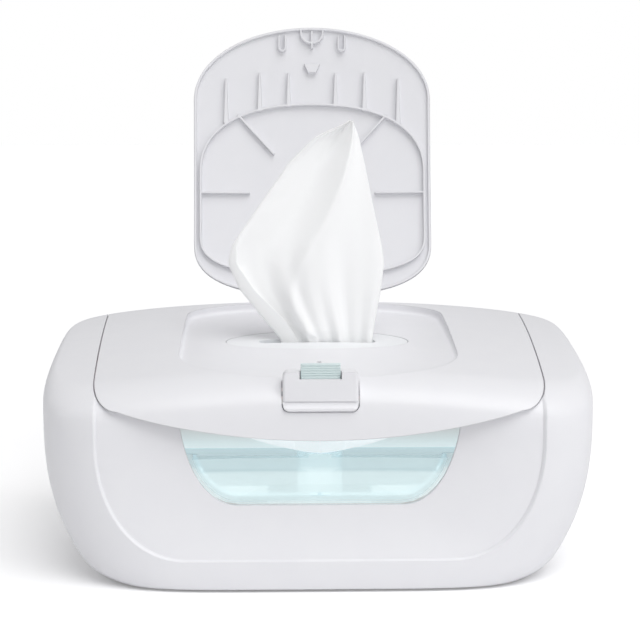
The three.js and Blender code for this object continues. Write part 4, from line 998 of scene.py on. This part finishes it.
# Painted shade: the upper walls behind the front turn a greyer pink and glow less.
tray_shaded_back = add_node(
    aqua,
    "ShaderNodeMath",
    {"operation": "MULTIPLY"},
    {0: tray_rise.outputs[0], 1: tray_back.outputs[0]},
)
tray_colour = add_node(
    aqua,
    "ShaderNodeMix",
    {"data_type": "RGBA", 7: linear("#D9D2D0")},
    {0: tray_shaded_back.outputs[0], 6: tray_tint.outputs[2]},
)
tray_glow = add_node(
    aqua,
    "ShaderNodeMapRange",
    {"To Min": 0.5, "To Max": 0.22},
    {"Value": tray_shaded_back.outputs[0]},
)
aqua.links.new(tray_glow.outputs[0], tray_shader.inputs["Emission Strength"])
aqua.links.new(tray_colour.outputs[2], tray_shader.inputs["Base Color"])
aqua.links.new(tray_colour.outputs[2], tray_shader.inputs["Emission Color"])
aqua.links.new(tray_wall.outputs[0], tray_shader.inputs["Alpha"])
dress(tray, polypropylene, "base", "aqua_clear", "wipe_tray")


# Drawn wipe: one sheet of damp white non-woven cloth, pinched in the slot and fanned out above it.
# Its lower left edge is rolled over to the front, and soft folds rise from the slot and fade upwards.
WIPE_LOW = 112
WIPE_TOP = 246
heights = [112, 122.5, 136, 151, 166, 176.5, 200, 223, 238, 246]
left_at = [-19, -20.9, -32, -43.9, -50.5, -47.8, -31.4, -15.3, 0.5, 19.2]
right_at = [31, 31.4, 33.6, 36.2, 38, 36.4, 31.3, 26.6, 23.2, 19.8]
rows, columns, flap_columns = 200, 130, 36
z_row = np.linspace(WIPE_LOW, WIPE_TOP, rows)
left_row = np.interp(z_row, heights, left_at)
right_row = np.interp(z_row, heights, right_at)
kernel = np.hanning(13) / np.hanning(13).sum()
left_row = np.convolve(np.pad(left_row, 6, mode="edge"), kernel, mode="valid")
right_row = np.convolve(np.pad(right_row, 6, mode="edge"), kernel, mode="valid")
rise = (z_row - WIPE_LOW) / (WIPE_TOP - WIPE_LOW)
flap_row = 12 * np.clip(1 - np.abs(rise - 0.16) / 0.36, 0, 1) ** 0.8
sheet_points = []
for z, left, right, flap, up in zip(z_row, left_row, right_row, flap_row, rise):
    fan = np.linspace(0, 1, columns)
    flap_fan = np.linspace(1, 0, flap_columns, endpoint=False)
    pinch = np.clip(1 - up / 0.62, 0, 1) ** 1.4
    spread = np.clip(up / 0.12, 0, 1)
    folds = 2.1 * pinch * np.cos(2 * np.pi * (3.4 * fan ** 0.9 + 0.15 + 0.5 * up))
    folds += 1.3 * pinch * np.cos(2 * np.pi * (6.3 * fan + 0.4))
    broad = 4.2 * np.sin(2 * np.pi * (0.9 * fan + 0.35 - 0.45 * up))
    broad += 1.6 * np.sin(2 * np.pi * (2.1 * fan - 0.9 * up))
    crease_line = -1.5 * spread * np.exp(-(((fan - (0.15 + 0.75 * up)) / 0.045) ** 2))
    lean = 7 * up ** 1.4
    y = SLOT[2] + folds * (0.75 + 0.25 * spread) + spread * broad + crease_line + lean
    limit = 3.1 + 40 * np.clip((z - 124) / 40, 0, 1)
    y = SLOT[2] + np.clip(y - SLOT[2], -limit, limit)
    x = left + (right - left) * fan
    front = y[0] - 2.6 * np.clip(flap / 4, 0, 1) * np.sqrt(np.clip(flap_fan, 0, 1)) - 0.8 * flap_fan
    flap_y = np.clip(front, SLOT[2] - limit, None)
    flap_x = left + flap * flap_fan
    row_x, row_y = np.concatenate([flap_x, x]), np.concatenate([flap_y, y])
    sheet_points.append(np.stack([row_x, row_y, np.full(len(row_x), z)], axis=1))
across = columns + flap_columns
faces = []
for r in range(rows - 1):
    a, b = r * across, (r + 1) * across
    faces += [(a + i, a + i + 1, b + i + 1, b + i) for i in range(across - 1)]
wipe = skin("drawn_wipe", np.vstack(sheet_points), faces)
thickness = wipe.modifiers.new("thickness", "SOLIDIFY")
thickness.thickness = 0.4 * MM
thickness.offset = 0
settle(wipe)
wipe.data.shade_smooth()

# Pressed non-woven fibre scatters light, so it has no highlight, and some light comes through it. Real
# fibres are too fine to show here, so their grain is drawn 1.4 mm coarse.
nonwoven = bpy.data.materials.new("nonwoven_white")
nonwoven.use_nodes = True
cloth = nonwoven.node_tree
cloth_shader = cloth.nodes["Principled BSDF"]
cloth_shader.inputs["Roughness"].default_value = 0.85
cloth_shader.inputs["Sheen Weight"].default_value = 0.15
# A faint white glow on the cloth is painted light that brightens it beyond what the lamps give.
cloth_shader.inputs["Emission Color"].default_value = linear("#FFFFFF")
cloth_shader.inputs["Emission Strength"].default_value = 0.06
cloth_place = add_node(cloth, "ShaderNodeTexCoord")
fibres = add_node(
    cloth,
    "ShaderNodeTexNoise",
    {"Scale": 1 / (1.4 * MM), "Detail": 6.0, "Roughness": 0.7},
    {"Vector": cloth_place.outputs["Object"]},
)
fibre_tint = add_node(
    cloth,
    "ShaderNodeMix",
    {"data_type": "RGBA", 6: linear("#FFFFFF"), 7: linear("#F8F9FA")},
    {0: fibres.outputs["Fac"]},
)
fibre_bump = add_node(
    cloth,
    "ShaderNodeBump",
    {"Strength": 0.35, "Distance": 0.15 * MM},
    {"Height": fibres.outputs["Fac"]},
)
cloth.links.new(fibre_tint.outputs[2], cloth_shader.inputs["Base Color"])
cloth.links.new(fibre_bump.outputs[0], cloth_shader.inputs["Normal"])
thin = add_node(cloth, "ShaderNodeBsdfTranslucent", {"Color": linear("#FFFFFF")})
thin_mix = add_node(
    cloth,
    "ShaderNodeMixShader",
    {0: 0.25},
    {1: cloth_shader.outputs[0], 2: thin.outputs[0]},
)
cloth.links.new(thin_mix.outputs[0], cloth.nodes["Material Output"].inputs["Surface"])
wipe.data.materials.append(nonwoven)
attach(wipe, "main_lid")
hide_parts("wipe")
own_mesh(wipe)


# Lid catch: a small white ABS prow with two wings under the lid's edge, with a weak glow for the daylight
# that comes through the tub. It keeps its CAD solid, as all pieces below do but the button spring, and
# those get only a finish, named for the real material.
def finish_nodes(material, *names):
    for name in names:
        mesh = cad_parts[name].data
        mesh.materials.clear()
        mesh.materials.append(material)


abs_catch = plastic("abs_white_backlit", "#E9E9EC", 0.4, "#E6E6EA", edge=0.3)
catch_glow = abs_catch.node_tree.nodes["Principled BSDF"]
catch_glow.inputs["Emission Color"].default_value = linear("#F4F4F6")
catch_glow.inputs["Emission Strength"].default_value = 0.5
finish_nodes(abs_catch, "lid_catch")


# Inner tub, lid liner and base plate: moulded white polypropylene, satin on the tub and matt on the rest.
# The tub's weak glow stands for the daylight that comes through its thin wall.
polypropylene_white = plastic("polypropylene_white_satin", "#EFE6E4", 0.45, "#EAE1DF", edge=0.5)
tub_glow = polypropylene_white.node_tree.nodes["Principled BSDF"]
tub_glow.inputs["Emission Color"].default_value = linear("#F6E4E1")
tub_glow.inputs["Emission Strength"].default_value = 0.2
finish_nodes(polypropylene_white, "inner_tub")
polypropylene_matt = plastic("polypropylene_white_matt", "#EDEDED", 0.5, "#E8E8E9", edge=0.5)
finish_nodes(polypropylene_matt, "lid_liner", "base_plate")


# Seal and feet: the seal round the lid is the same moulded silicone as the insert, and the four feet are
# matt grey rubber with a fine mottle.
finish_nodes(silicone, "lid_seal")
foot_rubber = plastic("rubber_grey_matt", "#8A8D90", 0.8, "#808386", edge=0.3, mottle_size=3)
corners = ["front_left", "back_left", "front_right", "back_right"]
finish_nodes(foot_rubber, *["rubber_foot_" + corner for corner in corners])


# Steel pins, screws and springs, and the aluminium heater plate, drawn or rolled so that fine lines
# run along them. Real lines are too fine to show here, so they are drawn about half a millimetre apart.
def metal(name, colour, roughness, line_spacing):
    made = bpy.data.materials.new(name)
    made.use_nodes = True
    tree = made.node_tree
    shader = tree.nodes["Principled BSDF"]
    shader.inputs["Metallic"].default_value = 1.0
    place = add_node(tree, "ShaderNodeTexCoord")
    stretch = add_node(
        tree,
        "ShaderNodeMapping",
        {"Scale": (0.05, 1, 1)},
        {"Vector": place.outputs["Object"]},
    )
    lines = add_node(
        tree,
        "ShaderNodeTexNoise",
        {"Scale": 1 / (line_spacing * MM), "Detail": 2.0},
        {"Vector": stretch.outputs[0]},
    )
    tint = add_node(
        tree,
        "ShaderNodeMix",
        {"data_type": "RGBA", 6: linear(colour), 7: linear("#9DA0A3")},
        {0: lines.outputs["Fac"]},
    )
    gloss = add_node(
        tree,
        "ShaderNodeMapRange",
        {"To Min": roughness - 0.06, "To Max": roughness + 0.08},
        {"Value": lines.outputs["Fac"]},
    )
    tree.links.new(tint.outputs[2], shader.inputs["Base Color"])
    tree.links.new(gloss.outputs[0], shader.inputs["Roughness"])
    return made


steel = metal("steel_drawn", "#C4C6C8", 0.28, 0.4)
finish_nodes(steel, "main_hinge_pin_left", "main_hinge_pin_right", "flip_hinge_pin", "flip_spring")


# Button spring: a short coil of drawn steel wire in the tab's well, which the button presses shut as it goes
# down; here it stays a fixed coil. Its turns have a radius of one millimetre.
SPRING_LOW = 108.3
SPRING_HIGH = 110.7
SPRING_TURNS = 3
WIRE_RADIUS = 0.26
WIRE_END = 0.28
swing = np.linspace(0, SPRING_TURNS * 2 * np.pi, 73)
coil_centre = np.stack([
    np.cos(swing),
    TAB_FRONT + 3.1 + np.sin(swing),
    np.linspace(SPRING_LOW + WIRE_END, SPRING_HIGH - WIRE_END, len(swing)),
], axis=1)
coil_out = np.stack([np.cos(swing), np.sin(swing), 0 * swing], axis=1)
round_wire = np.linspace(0, 2 * np.pi, 10, endpoint=False)[:, None]
coil_rings = []
for point, out in zip(coil_centre, coil_out):
    wire = np.cos(round_wire) * out + np.sin(round_wire) * [0, 0, 1]
    coil_rings.append(point + WIRE_RADIUS * wire)
coil = smooth(loft("coil_spring", coil_rings))
dress(coil, steel, "latch", "steel", "button_spring")
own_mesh(coil)


# Screws and heater plate: the base is held by four screws of the same drawn steel, and the plate under
# the tub is rolled aluminium.
finish_nodes(steel, *["base_screw_" + corner for corner in corners])
finish_nodes(metal("aluminium_rolled", "#D2D4D6", 0.35, 0.8), "heater_plate")


# Electrical pieces and felt: black moulded nylon for the thermostat and the jack, green resist on the
# board, an amber polyimide film heater, and a white felt that keeps the heat in.
nylon_black = plastic("nylon_black", "#1E1F22", 0.5, "#26272A", edge=0.3, mottle_size=2)
finish_nodes(nylon_black, "thermostat", "power_jack")
finish_nodes(plastic("board_green_resist", "#2E6B4A", 0.35, "#245A3D", mottle_size=3), "circuit_board")
finish_nodes(plastic("polyimide_amber", "#C98B4A", 0.3, "#B87B3C", mottle_size=6), "heating_pad")
finish_nodes(plastic("felt_white", "#E2DED4", 0.95, "#CFCABE", mottle_size=1.5), "insulation_felt")
